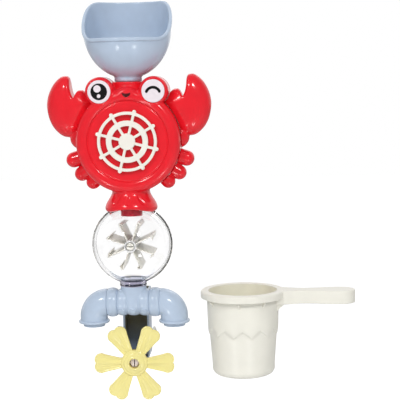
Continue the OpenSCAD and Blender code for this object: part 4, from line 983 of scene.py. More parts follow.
def repeated_round():
    """Node group: copies of one piece, turned step by step round an axis that points at the viewer."""
    tree = node_group(
        "copies round an axis",
        (("Blade", "Object"), ("Count", "Int"), ("Centre", "Vector"), ("First turn", "Float"), ("Finish", "Material")),
        ENDS + (("blade", "GeometryNodeObjectInfo"), ("points", "GeometryNodePoints"),
                ("number", "GeometryNodeInputIndex"), ("share", "ShaderNodeMath"), ("angle", "ShaderNodeMath"),
                ("turned", "ShaderNodeCombineXYZ"), ("moved", "GeometryNodeTransform")),
        (("given", "Blade", "blade", "Object"), ("given", "Count", "points", "Count"), ("given", "Count", "share", 1),
         ("number", 0, "angle", 0), ("share", 0, "angle", 1), ("given", "First turn", "angle", 2),
         ("angle", 0, "turned", "Y"), ("points", 0, "copies", "Points"), ("blade", "Geometry", "copies", "Instance"),
         ("turned", 0, "copies", "Rotation"), ("copies", 0, "moved", "Geometry"),
         ("given", "Centre", "moved", "Translation"), ("moved", 0, "real", 0)) + LAST_LINKS,
        (("share", "DIVIDE"), ("angle", "MULTIPLY_ADD")))
    tree.nodes["share"].inputs[0].default_value = -2 * math.pi
    return tree


def made_by(tree, name, base=None, **sizes):
    """Runs a node group with its named inputs and keeps the mesh that it makes."""
    obj = base or bpy.data.objects.new(name, bpy.data.meshes.new(name))
    if base is None:
        scene.collection.objects.link(obj)
    made = obj.modifiers.new("made", "NODES")
    made.node_group = tree
    for item in tree.interface.items_tree:
        if item.item_type == "SOCKET" and item.in_out == "INPUT" and item.name in sizes:
            made[item.identifier] = sizes[item.name]
    bpy.context.view_layer.update()
    mesh = bpy.data.meshes.new_from_object(obj.evaluated_get(bpy.context.evaluated_depsgraph_get()))
    obj.modifiers.clear()
    obj.data = mesh
    mesh.name = name
    mesh.polygons.foreach_set("use_smooth", [True] * len(mesh.polygons))
    return obj


def joined(name, *parts):
    """One object from several, each of which is removed."""
    work = bmesh.new()
    mats = []
    for part in parts:
        for mat in part.data.materials:
            if mat not in mats:
                mats.append(mat)
        work.from_mesh(part.data)
        bpy.data.objects.remove(part)
    data = bpy.data.meshes.new(name)
    work.to_mesh(data)
    work.free()
    for mat in mats:
        data.materials.append(mat)
    obj = bpy.data.objects.new(name, data)
    scene.collection.objects.link(obj)
    return obj


ROUND = repeated_round()
print("node group ready:", ROUND.name)

# %% The wheel in the globe
PADDLES, PADDLE_R, PADDLE_HALF, BLADE_T, HOOK, HOOK_TURN = 8, 22.5, 19.0, 1.2, 3.6, 35
WHEEL_HUB_R, WHEEL_PIN_R, RECESS_R, RECESS_DEEP, FIRST_BLADE = 5.4, 2.5, 4.2, 2.2, 0.57


def bladed(name, outline, half, count, centre_u, turn, finish):
    """Blades of one outline round a centre, made real."""
    master = slab(name + "_master", outline, -half, half, 0.35,
                  lambda x, u, level: at(x, u, level - MID))
    blades = made_by(ROUND, name, Blade=master, Count=count, Finish=finish,
                     Centre=(0.0, -MID * MM, centre_u * MM), **{"First turn": -math.radians(turn)})
    bpy.data.objects.remove(master)
    return blades


blades = bladed("globe_wheel_blades", hooked(4.2, PADDLE_R, BLADE_T, HOOK, HOOK_TURN), PADDLE_HALF - 0.8,
                PADDLES, GLOBE_U, FIRST_BLADE * 360 / PADDLES, CREAM)
hub = softened([(WHEEL_PIN_R + SHAFT_GAP, -PADDLE_HALF), (WHEEL_HUB_R, -PADDLE_HALF, 0.4),
                (WHEEL_HUB_R, PADDLE_HALF, 0.5), (RECESS_R, PADDLE_HALF, 0.3),
                (RECESS_R, PADDLE_HALF - RECESS_DEEP), (WHEEL_PIN_R + SHAFT_GAP, PADDLE_HALF - RECESS_DEEP)])
wheel_hub = lathe("globe_wheel_hub", hub, facing(0, GLOBE_U))
wheel_hub.data.materials.append(CREAM)
globe_wheel = joined("globe_wheel_moulding", blades, wheel_hub)
dress(globe_wheel, "globe_wheel", "cream_plastic", replaces=["paddle_wheel"])

# %% [markdown]
# Both wheels turn on pins whose heads are slit, so that they can be pushed through and snap open. The heads are
# small, but in the picture they sit in the middle of what draws the eye.

# %% Snap pins


def snap_pin(name, centre_u, radius, head_r, start, shoulder, head_h, upright_slit):
    """A pin with a slit, rounded head, in front of its shoulder."""
    def rule(x, u, d):
        up = u - centre_u
        r = np.hypot(x, up)
        shaft = np.maximum(r - radius, np.maximum(start - d, d - shoulder - 0.5))
        head = plate(r - head_r, d, shoulder, shoulder + head_h, 0.7)
        slit = np.abs(x if upright_slit else up) - 0.55
        return without(np.minimum(shaft, head), np.maximum(slit, shoulder - head_h - d), 0.1)
    reach = head_r + 0.6
    low, high = (-reach, centre_u - reach, start - 0.7), (reach, centre_u + reach, shoulder + head_h + 0.7)
    return skin(name, rule, low, high, 0.25)


wheel_pin = snap_pin("globe_wheel_pin", GLOBE_U, WHEEL_PIN_R, 3.4, PIN_BOSS_FACE - 8,
                     PADDLE_HALF - RECESS_DEEP + SHAFT_GAP, 0.8 * RECESS_DEEP, False)
dress(wheel_pin, "root", "cream_plastic", CREAM, replaces=["paddle_pin"])

# %% [markdown]
# ## The pipe
# Below the globe a tee splits the water. It looks like five fat rings pushed together, with the socket of the
# globe's neck flowing down between them. The rings are one radius that varies along the pipe, full over each
# ring and dipping sharply between two. The elbows at its ends are a ring section swept along a bend, so they are
# drawn as rows: each row is the same closed outline of wall, lip and bore, carried round the pipe's axis.

# %% The tee
PIPE_U, PIPE_R, PIPE_BORE_R, TEE_HALF = -146.8, 12.4, 9.4, 24.1
RIB_ENDS, RIB_DIP, COLLAR_BULGE = (5.3, 14.6, 24.1), 2.0, 0.9
SOCKET_R, SOCKET_BORE_R, BORE_TOP, DRAIN_R = 11.7, 10.0, -137.75, 4.0
BUTTON_R, BUTTON_X, BUTTON_TILT, BUTTON_FROM, BUTTON_PROUD, BUTTON_EDGE = 2.9, 9.95, 32, 9, 0.9, 0.4
POST_X, PIPE_POST_R, POST_BACK, POST_FLOOR = 4.9, 3.6, 36.2, 24.2


def ring_radius(x):
    """Radius of the ribbed pipe at a place along it."""
    x = np.abs(x)
    start = np.where(x < RIB_ENDS[0], -RIB_ENDS[0], np.where(x < RIB_ENDS[1], RIB_ENDS[0], RIB_ENDS[1]))
    end = np.where(x < RIB_ENDS[0], RIB_ENDS[0], np.where(x < RIB_ENDS[1], RIB_ENDS[1], RIB_ENDS[2]))
    share = np.clip(np.abs(2 * x - start - end) / (end - start), 0, 1)
    full = PIPE_R + COLLAR_BULGE * (x > RIB_ENDS[1])
    return full - RIB_DIP * (1 - np.sqrt(1 - share ** 2))


def tee_rule(x, u, d):
    """The ribbed tee with its socket, bores, buttons and the two posts for the column's screws."""
    off = np.hypot(u - PIPE_U, d)
    r = np.hypot(x, d)
    body = np.maximum(0.75 * (off - ring_radius(x)), np.abs(x) - TEE_HALF)
    body = either(body, np.maximum(r - SOCKET_R, np.maximum(u - SOCKET_TOP, PIPE_U - u)), 0.8)
    a = math.radians(BUTTON_TILT)
    out = d * math.cos(a) - (u - PIPE_U) * math.sin(a)
    up = d * math.sin(a) + (u - PIPE_U) * math.cos(a)
    for x0 in (-BUTTON_X, 0, BUTTON_X):
        body = np.minimum(body, plate(np.hypot(x - x0, up) - BUTTON_R, out, BUTTON_FROM,
                                      PIPE_R + BUTTON_PROUD, BUTTON_EDGE))
    post = np.hypot(np.abs(x) - POST_X, u - PIPE_U)
    body = np.minimum(body, np.maximum(post - PIPE_POST_R, np.maximum(d, -d - POST_BACK)))
    for tool in (np.maximum(post - SCREW_BITE_R, d + POST_FLOOR),
                 np.maximum(off - PIPE_BORE_R, -FAR - u + PIPE_U), np.maximum(r - PIPE_BORE_R, PIPE_U - u),
                 np.maximum(r - SOCKET_BORE_R, BORE_TOP - u), np.maximum(r - DRAIN_R, u - PIPE_U)):
        body = without(body, tool)
    return body


tee = skin("pipe_tee_moulding", tee_rule, (-25.5, -161.5, -37.5), (25.5, -130.5, 14.5), 0.5)
dress(tee, "root", "blue_plastic", BLUE, replaces=["pipe_tee"])

# %% The elbows and their nozzles
BEND_R, ELBOW_BORE_R, LEG_LEN, LIP_R, LIP_H, NOZZLE_R, NOZZLE_LOW = 12.6, 7.8, 3.6, 14.0, 2.4, 9.8, -168.5
BEND = BEND_R * math.pi / 2
LIP_TOP = BEND + LEG_LEN
SPOUT_X = TEE_HALF + BEND_R
LIP_LOW_U = PIPE_U - BEND_R - LEG_LEN - LIP_H


def along_bend(side):
    """Places (radius, way along the pipe) round the bent axis, for the spout on one side."""
    def place(r, s, turn):
        bend = np.clip(s, 0, BEND) / BEND_R
        before, after = np.minimum(s, 0), np.maximum(s - BEND, 0)
        x = TEE_HALF + before + np.sin(bend) * (BEND_R + r * np.cos(turn))
        u = PIPE_U - BEND_R - after + np.cos(bend) * (BEND_R + r * np.cos(turn))
        return at(side * x, u, r * np.sin(turn))
    return place


def dense(outline, step):
    """Adds points to the long stretches of a closed outline, so that it can be bent."""
    filled = []
    for a, b in zip(outline, np.roll(outline, -1, 0)):
        count = max(1, int(np.hypot(*(b - a)) / step))
        filled += [a + (b - a) * k / count for k in range(count)]
    return np.array(filled)


wall = dense(softened([
    (PIPE_BORE_R - 0.1, -6), (PIPE_BORE_R - 0.1, 0), (PIPE_R, 0, 0.5), (PIPE_R, LIP_TOP, 0.4),
    (LIP_R, LIP_TOP, 1.15), (LIP_R, LIP_TOP + LIP_H, 1.15), (NOZZLE_R + 0.1, LIP_TOP + LIP_H, 0.3),
    (NOZZLE_R + 0.1, LIP_TOP + LIP_H - 4.4), (ELBOW_BORE_R, LIP_TOP + LIP_H - 4.4), (ELBOW_BORE_R, -6)]), 1.0)
nozzle_wall = softened([(NOZZLE_R, LIP_LOW_U + 4.4), (NOZZLE_R, NOZZLE_LOW, 0.5), (ELBOW_BORE_R, NOZZLE_LOW, 0.4),
                        (ELBOW_BORE_R, LIP_LOW_U + 4.4)])
turn = np.arange(96)[:, None] * 2 * math.pi / 96
for name, side in (("left", -1), ("right", 1)):
    elbow = rows(f"{name}_elbow_moulding", along_bend(side)(wall[:, 0], wall[:, 1], turn))
    dress(elbow, "root", "blue_plastic", BLUE, replaces=[f"{name}_elbow"])
    nozzle = lathe(f"{name}_nozzle_ring", nozzle_wall, standing(side * SPOUT_X, 0))
    dress(nozzle, "root", "blue_plastic", BLUE, replaces=[f"{name}_nozzle"])
print("elbow outline points:", len(wall))

# %% [markdown]
# ## The column
# A U-shaped channel hangs from the back of the tee. It hides behind the flower, carries the flower's pin on a
# boss and catches the splash. In the picture its inside is in deep shade, so the inner faces get a darker finish
# that clears towards the boss.

# %% The column
COLUMN_HALF, COLUMN_WALL, COLUMN_D, COLUMN_BACK, COLUMN_TOP = 12.0, 1.8, -12.6, -38.0, -138.8
COLUMN_ROUND_U, FLOWER_U, BOSS_R, BOSS_FACE = -197.6, -201.6, 5.0, -10.6


def column_rule(x, u, d):
    """The channel with its round lower end, the boss, the saddle under the pipe and the screws' holes."""
    low = np.hypot(x, np.minimum(u - COLUMN_ROUND_U, 0))
    outer = plate(np.maximum(low - COLUMN_HALF, u - COLUMN_TOP), d, COLUMN_BACK, COLUMN_D, 0.45)
    inner = np.maximum(low - COLUMN_HALF + COLUMN_WALL, COLUMN_BACK + COLUMN_WALL - d)
    form = without(outer, inner, 0.4)
    off = np.hypot(x, u - FLOWER_U)
    boss = plate(off - BOSS_R, d, COLUMN_BACK + 0.5, BOSS_FACE, 0.4)
    form = either(form, boss, 0.5)
    form = without(form, np.maximum(off - 3.1, BOSS_FACE - 10 - d))
    form = without(form, np.hypot(u - PIPE_U, d) - PIPE_R - 0.1, 0.3)
    return without(form, np.hypot(np.abs(x) - POST_X, u - PIPE_U) - SCREW_PASS_R)


# Painted shade: a darker pale blue that the channel's inside clears to near the boss.
SHADED_BLUE = (150, 166, 190)


def deep_shade(base, top, low):
    """A copy of a painted-shade finish that goes over into a lighter painted shade of the blue between two heights, in
    millimetres.
    """
    mat = base.copy()
    mat.name = "channel's shaded inside"
    mix_in(mat, ramp(mat.node_tree, object_axes(mat.node_tree)["Z"], top * MM, low * MM), SHADED_BLUE)
    return mat


column = skin("back_column_moulding", column_rule, (-13, -210.6, -39), (13, -137.5, -9.6), 0.6)
dress(column, "root", "blue_plastic", BLUE, deep_shade(SHADE, -172, -196), replaces=["back_column"])
# Painted shade: the faces inside the channel, apart from the boss, get the darker finish.
cx, cy, cz = faces_of(column)[0].T / MM
low = np.hypot(cx, np.minimum(cz - COLUMN_ROUND_U, 0))
inside = (low < COLUMN_HALF - COLUMN_WALL + 0.2) & (-cy - MID < COLUMN_D - 3) & (-cy - MID > COLUMN_BACK + 0.6)
inside &= np.hypot(cx, cz - FLOWER_U) > BOSS_R + 0.3
mark(column, inside)
print("shaded faces:", int(inside.sum()))

# %% [markdown]
# ## The flower
# Six petals, each ending in two lobes, stand round a domed hub. Close up, a petal has a thin raised edge, a ridge
# along its middle and two creases beside it that spread from the hub. All of that is relief on one flat outline,
# so the rule takes the height of the relief away from the distance to the front face.

# %% The flower
PETALS, PETAL_D, PETAL_T, PETAL_REACH, LOBE_R, HALF_ROOT, HALF_TIP = 6, 9.0, 2.0, 36.3, 5.8, 3.4, 9.1
HUB_R, DOME, HUB_HOLE_R, FLOWER_PIN_R = 12.1, 3.2, 4.5, 3.0
LOBE_AT = PETAL_REACH - LOBE_R


def petal_side(along, across):
    """Distance outside one petal's outline."""
    across = np.abs(across)
    half = HALF_ROOT + (HALF_TIP - HALF_ROOT) * np.clip((along - HUB_R / 2) / (LOBE_AT - HUB_R / 2), 0, 1)
    blade = np.maximum(across - half, along - LOBE_AT)
    lobe = np.hypot(along - LOBE_AT, across - HALF_TIP + LOBE_R) - LOBE_R
    return either(blade, lobe, 0.8)


def petal_relief(along, across, side):
    """Height of the petal's raised edge and ridge, less its creases."""
    rim = 0.55 * np.clip((side + 1.7) / 0.7, 0, 1)
    fade = np.clip((33 - along) / 8, 0, 1)
    ridge = 0.75 * np.exp(-(across / 0.9) ** 2) * fade
    crease = 0.4 * np.exp(-((np.abs(across) - 1.6 - 0.13 * (along - 10)) / 0.55) ** 2) * fade
    return rim + ridge - crease


def flower_rule(x, u, d):
    """Petals and domed hub, with the hole for the pin's head."""
    up = u - FLOWER_U
    r = np.hypot(x, up)
    along, across = folded(x, up, PETALS, 0)
    side = petal_side(along, across)
    front = PETAL_D - 0.5 + petal_relief(along, across, side)
    level = np.where(d > PETAL_D - 1, PETAL_D + (d - front) * 0.9, d)
    petals = plate(side, level, PETAL_D - PETAL_T, PETAL_D, 0.5)
    lift = DOME * np.sqrt(np.clip(1 - (r / HUB_R) ** 2, 0, 1))
    rings = 0.4 * np.exp(-((r - 5.7) / 0.5) ** 2) - 0.6 * np.exp(-((r - 9.8) / 0.5) ** 2)
    dome = np.maximum(r - HUB_R, 0.85 * (d - PETAL_D - lift - rings + 0.1))
    hub = both(dome, PETAL_D - 2 * PETAL_T - d, 0.4)
    return without(either(petals, hub, 0.7), r - HUB_HOLE_R, 0.5)


flower = skin("flower_moulding", flower_rule, (-38, -239.5, 4.2), (38, -163.5, 13.2), 0.5)
dress(flower, "flower", "yellow_plastic", YELLOW, PETAL_SIDE_SHADE, replaces=["flower_wheel"])
# Painted shade: the petals' side faces get the darker yellow, as if less light fell on them.
centres, normals = faces_of(flower)
mark(flower, (np.abs(normals[:, 1]) < 0.3) & (-centres[:, 1] < (MID + PETAL_D - 0.6) * MM))

PADDLE_BACK, PADDLE_HUB_R, FLOWER_PADDLE_R = -11.0, 5.6, 34.6
paddle_half = (PETAL_D - PETAL_T - PADDLE_BACK) / 2
paddle_blades = bladed("flower_paddle_blades", hooked(4.3, FLOWER_PADDLE_R, BLADE_T, HOOK, HOOK_TURN), paddle_half,
                       PETALS, FLOWER_U, 0, CREAM)
paddle_blades.data.transform(Matrix.Translation((0, -(PADDLE_BACK + paddle_half) * MM, 0)))
tube = softened([(FLOWER_PIN_R + SHAFT_GAP, PADDLE_BACK), (PADDLE_HUB_R, PADDLE_BACK, 0.4),
                 (PADDLE_HUB_R, PETAL_D - 2 * PETAL_T, 0.3), (FLOWER_PIN_R + SHAFT_GAP, PETAL_D - 2 * PETAL_T)])
paddle_tube = lathe("flower_paddle_tube", tube, facing(0, FLOWER_U))
paddle_tube.data.materials.append(CREAM)
flower_paddle = joined("flower_paddle_moulding", paddle_blades, paddle_tube)
dress(flower_paddle, "flower", "cream_plastic", replaces=["flower_paddle"])
flower_pin = snap_pin("flower_snap_pin", FLOWER_U, FLOWER_PIN_R, 3.9, -20.6, PETAL_D - 2 * PETAL_T + SHAFT_GAP, 2.4,
                      True)
dress(flower_pin, "root", "white_plastic", WHITE, replaces=["flower_pin"])

# %% [markdown]
# ## The pouring cup
# The cup is drawn from its axis outwards: up its outside, over the rolled rim, which is hollow from below, and
# down its inside to the floor. That outline is almost the same all round. Only the step in the wall changes,
# because it runs round the cup in a zigzag. So each column of points works out the height of the step at its
# own angle, and spreads its rows below and above that height.

# %% The cup's wall
CUP_X, CUP_U, CUP_H, CUP_FOOT_R, CUP_FILLET, CUP_WALL = 99.0, -213.0, 77.0, 28.2, 9.0, 1.8
CUP_RIM_R, CUP_TOP_R, RIM_H, STEP_AT, TOOTH_H, TEETH = 38.0, 32.6, 6.5, 38.0, 6.0, 12
RIM_LOW = CUP_H - RIM_H


def lower_side(u):
    """Outer radius of the cup below the step, which goes on inside the wall above it."""
    return CUP_FOOT_R + 0.0754 * (u - CUP_FILLET)


def upper_side(u):
    """Outer radius of the cup above the step."""
    return CUP_TOP_R - 0.0295 * (RIM_LOW - u)


foot = softened([(0, 0), (CUP_FOOT_R, 0, CUP_FILLET), (CUP_FOOT_R + 0.3, CUP_FILLET + 4)], steps=10)[:-1]
rim = softened([(CUP_TOP_R, RIM_LOW), (CUP_TOP_R + 0.8, RIM_LOW, 0.2), (CUP_TOP_R + 0.8, CUP_H - CUP_WALL, 0.5),
                (CUP_RIM_R - CUP_WALL, CUP_H - CUP_WALL, 0.5), (CUP_RIM_R - CUP_WALL, RIM_LOW, 0.4),
                (CUP_RIM_R, RIM_LOW, 0.4), (CUP_RIM_R, CUP_H, 2.0), (CUP_TOP_R - CUP_WALL, CUP_H, 0.9),
                (CUP_TOP_R - CUP_WALL - 0.4, CUP_H - 6)])[:-1]
floor = softened([(CUP_FOOT_R - CUP_WALL + 4.2, 74), (CUP_FOOT_R - CUP_WALL, CUP_WALL, CUP_FILLET - CUP_WALL),
                  (0, CUP_WALL)], steps=10)[1:]
inner_top, inner_low = rim[-1], floor[0]
inside = np.stack([np.linspace(inner_top[k], inner_low[k], 12) for k in range(2)], 1)[1:-1]

columns = []
for k in range(TEETH * 16):
    tooth = k % 16 / 16
    step = STEP_AT + TOOTH_H * abs(1 - 2 * tooth)
    below = np.linspace(CUP_FILLET + 0.6, step - 0.45, 9)
    above = np.linspace(step + 0.4, RIM_LOW - 0.3, 7)
    edge = [(lower_side(step) + 0.15, step - 0.2), (upper_side(step) - 0.15, step + 0.15)]
    columns.append(np.vstack([foot, np.stack([lower_side(below), below], 1), edge,
                              np.stack([upper_side(above), above], 1), rim, inside, floor]))
columns = np.array(columns)
turn = np.arange(len(columns))[:, None] * 2 * math.pi / len(columns)
cup_wall = rows("cup_wall", standing(CUP_X, CUP_U)(np.cos(turn) * columns[..., 0], np.sin(turn) * columns[..., 0],
                                                   columns[..., 1]), loop=False)
print("cup wall faces:", len(cup_wall.data.polygons))

# %% [markdown]
# The handle is a hollow tongue, open below, that swells towards its tip: a line with widths, seen from above.
# Small gussets stiffen the rim from below, five round the cup and a deeper pair under the handle's root.

# %% The cup's handle and gussets
GRIP = ((30.3, 12.6), (38.4, 11.7), (46.5, 8.9), (54.5, 7.5), (62.6, 7.9), (70.7, 9.4), (78.8, 10.9), (89.5, 11.5))
GRIP_H, GRIP_TOP, GRIP_TIP = 12.0, 76.6, 89.5
GUSSETS, GUSSET_H, GUSSET_T, GUSSET_SUNK, GUSSET_PAIR = (62, 125, 215, 265, 305), 6.0, 1.6, 0.8, (-9.5, 9.5)
GRIP_LINE = smooth_curve(GRIP, 80)


def grip_rule(x, u, d):
    """The handle: its outline from above, hollowed from below and open towards the cup's wall."""
    out = x - CUP_X
    half = np.interp(out, *GRIP_LINE.T)
    side = np.minimum(np.maximum(np.abs(d) - half, out - GRIP_TIP), np.hypot(out - GRIP_TIP, d) - GRIP[-1][1])
    shell = plate(side, u - CUP_U, GRIP_TOP - GRIP_H, GRIP_TOP, 0.8)
    room = np.maximum(side + CUP_WALL, u - CUP_U - GRIP_TOP + CUP_WALL)
    return without(without(shell, room, 0.3), np.hypot(out, d) - CUP_TOP_R + 1.4)


def gusset(name, turn, height, reach, middle=0.0):
    """A thin stiffening plate under the rim, standing out from the wall at an angle from the handle."""
    a = math.radians(turn)
    top = RIM_LOW + 0.1
    wall = math.sqrt(CUP_TOP_R ** 2 - middle ** 2) - GUSSET_SUNK
    outline = softened([(wall - 0.4, top), (wall - 0.4, top - height), (wall + 0.4, top - height),
                        (reach, top)])
    return slab(name, outline, middle - GUSSET_T / 2, middle + GUSSET_T / 2, 0.15, lambda out, up, level: at(
        CUP_X + out * math.cos(a) - level * math.sin(a), CUP_U + up, -out * math.sin(a) - level * math.cos(a)))


grip = skin("cup_grip", grip_rule, (CUP_X + 25, CUP_U + 63, -14), (CUP_X + 102, CUP_U + 78, 14), 0.6)
plates = [gusset(f"cup_gusset_{turn}", turn, GUSSET_H, CUP_RIM_R - GUSSET_SUNK) for turn in GUSSETS]
plates += [gusset("cup_gusset_0", 0, 2 * GUSSET_H, CUP_RIM_R + GUSSET_H, middle)
           for middle in GUSSET_PAIR]
cup = joined("pouring_cup_moulding", cup_wall, grip, *plates)
dress(cup, "cup", "cup_plastic", CUP, CUP_INSIDE_SHADE, replaces=["pouring_cup"])
# Painted shade: the faces that look into the cup, and its floor, get the yellower cream.
centres, normals = faces_of(cup)
out = np.stack([centres[:, 0] - CUP_X * MM, centres[:, 1] + MID * MM], 1)
facing_in = ((out * normals[:, :2]).sum(1) < -0.3 * np.hypot(*out.T)) | (normals[:, 2] > 0.5)
inside = facing_in & (np.hypot(*out.T) < (CUP_TOP_R - 1) * MM) & (centres[:, 2] < (CUP_U + CUP_H - 2) * MM)
mark(cup, inside)

# %% [markdown]
# ## Suction cups and screws
# Two clear vinyl cups hold the toy to a wall. Behind the body sit four screws, and two more hold the column to
# the tee. A second Geometry Nodes group sets the same screw on every point of a small set of points. The screw
# has a cross recess and a thread, which is a ridge whose height follows the turn round the axis.

# %% Suction cups
vinyl = softened([(0, 7.2), (10, 5.4, 2.0), (18.4, 0), (20, 0), (20, 1.6, 0.8), (12, 9.9, 6), (7.5, 14.4, 2),
                  (7.5, 18, 0.6), (5, 18, 0.3), (5, 25.3, 0.3), (6.2, 25.3, 0.4), (5, 27.7, 0.6), (0, 27.7)])
for name, side in (("left", -1), ("right", 1)):
    suction = lathe(f"{name}_suction_vinyl", vinyl, facing(side * SUCTION_X, 0), turns=72)
    suction.data.transform(Matrix.Translation((0, MID * MM, 0)))
    dress(suction, "root", "suction_vinyl", VINYL, replaces=[f"{name}_suction_cup"])

# %% A screw, set on points by a node group
SCREW_R, SCREW_HEAD_R, SCREW_HEAD_H, SCREW_LEN, PITCH = 1.35, 3.0, 1.8, 12.0, 1.1


def screw_rule(x, u, d):
    """A pan head with a cross recess, and a threaded shaft that points at the viewer."""
    level = d + MID
    r, turn = np.hypot(x, u), np.arctan2(u, x)
    thread = 0.18 * (1 + np.cos(2 * math.pi * level / PITCH + turn))
    shaft = np.maximum(0.8 * (r - SCREW_R + thread), np.maximum(-level - 0.5, level - SCREW_LEN + 1.2 * r))
    head = plate(r - SCREW_HEAD_R, level, -SCREW_HEAD_H, 0, 0.7)
    cross = np.maximum(np.minimum(np.abs(x), np.abs(u)) - 0.42, np.maximum(np.abs(x), np.abs(u)) - 1.7)
    return without(np.minimum(shaft, head), np.maximum(cross, level + 0.7), 0.1)


ON_POINTS = node_group(
    "a piece on every point",
    (("Places", "Geometry"), ("Piece", "Object"), ("Size", "Float"), ("Finish", "Material")),
    ENDS + (("source", "GeometryNodeObjectInfo"),),
    (("given", "Places", "copies", "Points"), ("given", "Piece", "source", "Object"),
     ("source", "Geometry", "copies", "Instance"), ("given", "Size", "copies", "Scale"),
     ("copies", 0, "real", 0)) + LAST_LINKS)
master = skin("screw_master", screw_rule, (-3.4, -3.4, -MID - 2.3), (3.4, 3.4, -MID + 12.5), 0.22)
behind_shells = [(POST_RING_R * math.cos(math.radians(turn)), POST_RING_R * math.sin(math.radians(turn)), -6)
                 for turn in POST_TURNS]
behind_column = [(side * POST_X, PIPE_U, COLUMN_BACK) for side in (-1, 1)]
for name, places in (("shell_screws", behind_shells), ("column_screws", behind_column)):
    dots = bpy.data.meshes.new(name + "_set")
    dots.from_pydata([tuple(at(*place)) for place in places], [], [])
    base = bpy.data.objects.new(name + "_set", dots)
    scene.collection.objects.link(base)
    screws = made_by(ON_POINTS, name + "_set", base, Piece=master, Size=1.0, Finish=STEEL)
    dress(screws, "root", "screw_steel", replaces=[name])
    print(name, "faces:", len(screws.data.polygons))
bpy.data.objects.remove(master)

# %% [markdown]
# ## What stays inside
# The duct, the impeller and its axle are hidden in the body. Their construction meshes are good enough, so they
# only get the finish of the pieces round them.

# %% Finishes of the inner pieces
for name, finish in (("wheel_axle", CREAM), ("drive_impeller", CREAM), ("water_duct", DARK_RED),
                     ("drum_cover", DARK_RED)):
    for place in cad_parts[name].material_slots:
        place.material = finish
print("inner pieces finished")

# %% [markdown]
# ## Light, floor and camera
# The photograph is a studio picture on white: two softboxes stand in front to the left and right, a pair of
# small ones lifts the undersides, a third pair lights the edges from behind, and the backdrop is bright. The
# lamps stay at a level at which a colour
# renders about as it is written. White behind the toy comes from the world, which is one only for the rays that
# look straight at it, through something clear, or by reflection towards the backdrop.

# %% The world and the floor
FLOOR_U, FLOOR_HALF, FLOOR_GLOW, AMBIENT, ROOM_GLOSS = -550.0, 6, 0.65, 0.5, 0.3
scene.view_settings.view_transform = "Standard"
world = bpy.data.worlds.new("white studio")
scene.world = world
world.use_nodes = True
tree = world.node_tree
rays, looking = tree.nodes.new("ShaderNodeLightPath"), tree.nodes.new("ShaderNodeTexCoord")
way = tree.nodes.new("ShaderNodeSeparateXYZ")
tree.links.new(looking.outputs["Generated"], way.inputs[0])
behind = preset(tree.nodes.new("ShaderNodeMapRange"), From_Min=-0.1, From_Max=0.5, To_Min=ROOM_GLOSS, To_Max=1.0)
tree.links.new(way.outputs["Y"], behind.inputs["Value"])
seen = sum_of(tree, "MAXIMUM", rays.outputs["Is Camera Ray"], rays.outputs["Is Transmission Ray"])
mirrored = sum_of(tree, "MULTIPLY", rays.outputs["Is Glossy Ray"], behind.outputs["Result"])
level = sum_of(tree, "MAXIMUM", seen, mirrored)
plain = sum_of(tree, "MAXIMUM", seen, rays.outputs["Is Glossy Ray"])
rest = sum_of(tree, "MULTIPLY", sum_of(tree, "SUBTRACT", 1.0, plain), AMBIENT)
backdrop = tree.nodes["Background"]
backdrop.inputs["Color"].default_value = (1, 1, 1, 1)
tree.links.new(sum_of(tree, "ADD", level, rest), backdrop.inputs["Strength"])

floor_mat = bpy.data.materials.new("pale floor")
floor_mat.use_nodes = True
tree = floor_mat.node_tree
tree.nodes.remove(tree.nodes["Principled BSDF"])
matt, glow = tree.nodes.new("ShaderNodeBsdfDiffuse"), tree.nodes.new("ShaderNodeEmission")
both_of, rays = tree.nodes.new("ShaderNodeAddShader"), tree.nodes.new("ShaderNodeLightPath")
place = tree.nodes.new("ShaderNodeTexCoord")
grain = spread(tree, noise(tree, place, 3, 2), 0.80, 0.84)
tree.links.new(grain.outputs["Result"], matt.inputs["Color"])
seen = sum_of(tree, "MAXIMUM", rays.outputs["Is Camera Ray"], rays.outputs["Is Transmission Ray"])
tree.links.new(sum_of(tree, "MULTIPLY", seen, FLOOR_GLOW), glow.inputs["Strength"])
tree.links.new(matt.outputs[0], both_of.inputs[0])
tree.links.new(glow.outputs[0], both_of.inputs[1])
tree.links.new(both_of.outputs[0], tree.nodes["Material Output"].inputs["Surface"])
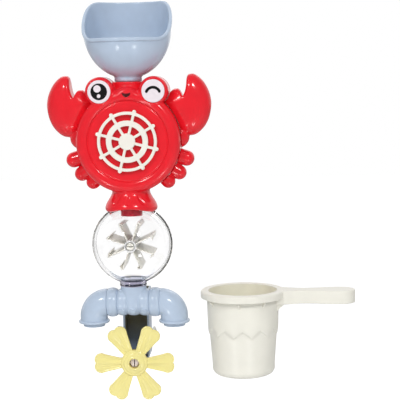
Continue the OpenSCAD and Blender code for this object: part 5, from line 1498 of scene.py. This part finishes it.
ground = bpy.data.meshes.new("floor")
ground.from_pydata([(x * FLOOR_HALF, y * FLOOR_HALF, FLOOR_U * MM) for x, y in ((-1, -1), (1, -1), (1, 1), (-1, 1))],
                   [], [(0, 1, 2, 3)])
ground.materials.append(floor_mat)
floor_piece = bpy.data.objects.new("floor", ground)
scene.collection.objects.link(floor_piece)

# %% Softboxes
MIDDLE = Vector((0.03, -0.05, -0.06))
SOFTBOXES = (("left", -27, 34, 1.6, 0.2, 6.6), ("right", 27, 34, 1.6, 0.2, 6.6),
             ("low_left", -27, -30, 0.9, 0.11, 0.55), ("low_right", 27, -30, 0.9, 0.11, 0.55),
             ("back_left", -160, 35, 1.6, 0.6, 1.6), ("back_right", 160, 35, 1.6, 0.6, 1.6))


def softbox(name, azimuth, elevation, distance, size, watts):
    """A square lamp at a distance from the toy's middle that looks at it, and that the camera doesn't see."""
    a, e = math.radians(azimuth), math.radians(elevation)
    lamp = bpy.data.lights.new("softbox_" + name, "AREA")
    lamp.energy = watts
    lamp.size = size
    obj = bpy.data.objects.new("softbox_" + name, lamp)
    obj.location = MIDDLE + distance * Vector((math.sin(a) * math.cos(e), -math.cos(a) * math.cos(e), math.sin(e)))
    obj.rotation_euler = (MIDDLE - obj.location).to_track_quat("-Z", "Y").to_euler()
    obj.visible_camera = False
    scene.collection.objects.link(obj)


for sizes in SOFTBOXES:
    softbox(*sizes)
print("softboxes:", len(SOFTBOXES))

# %% The camera
CAMERA, AIM, LENS, ROLL = Vector((0.11897, -1.042, 0.05)), Vector((0.06197, -0.042, -0.0545)), 100.89, -1.1
lens = bpy.data.cameras.new("camera")
lens.lens = LENS
lens.sensor_width = 36
camera = bpy.data.objects.new("camera", lens)
camera.location = CAMERA
look = (AIM - CAMERA).to_track_quat("-Z", "Y").to_matrix().to_4x4()
camera.rotation_euler = (look @ Matrix.Rotation(math.radians(ROLL), 4, "Z")).to_euler()
scene.collection.objects.link(camera)
scene.camera = camera
print("camera", round((AIM - CAMERA).length, 3), "m away")
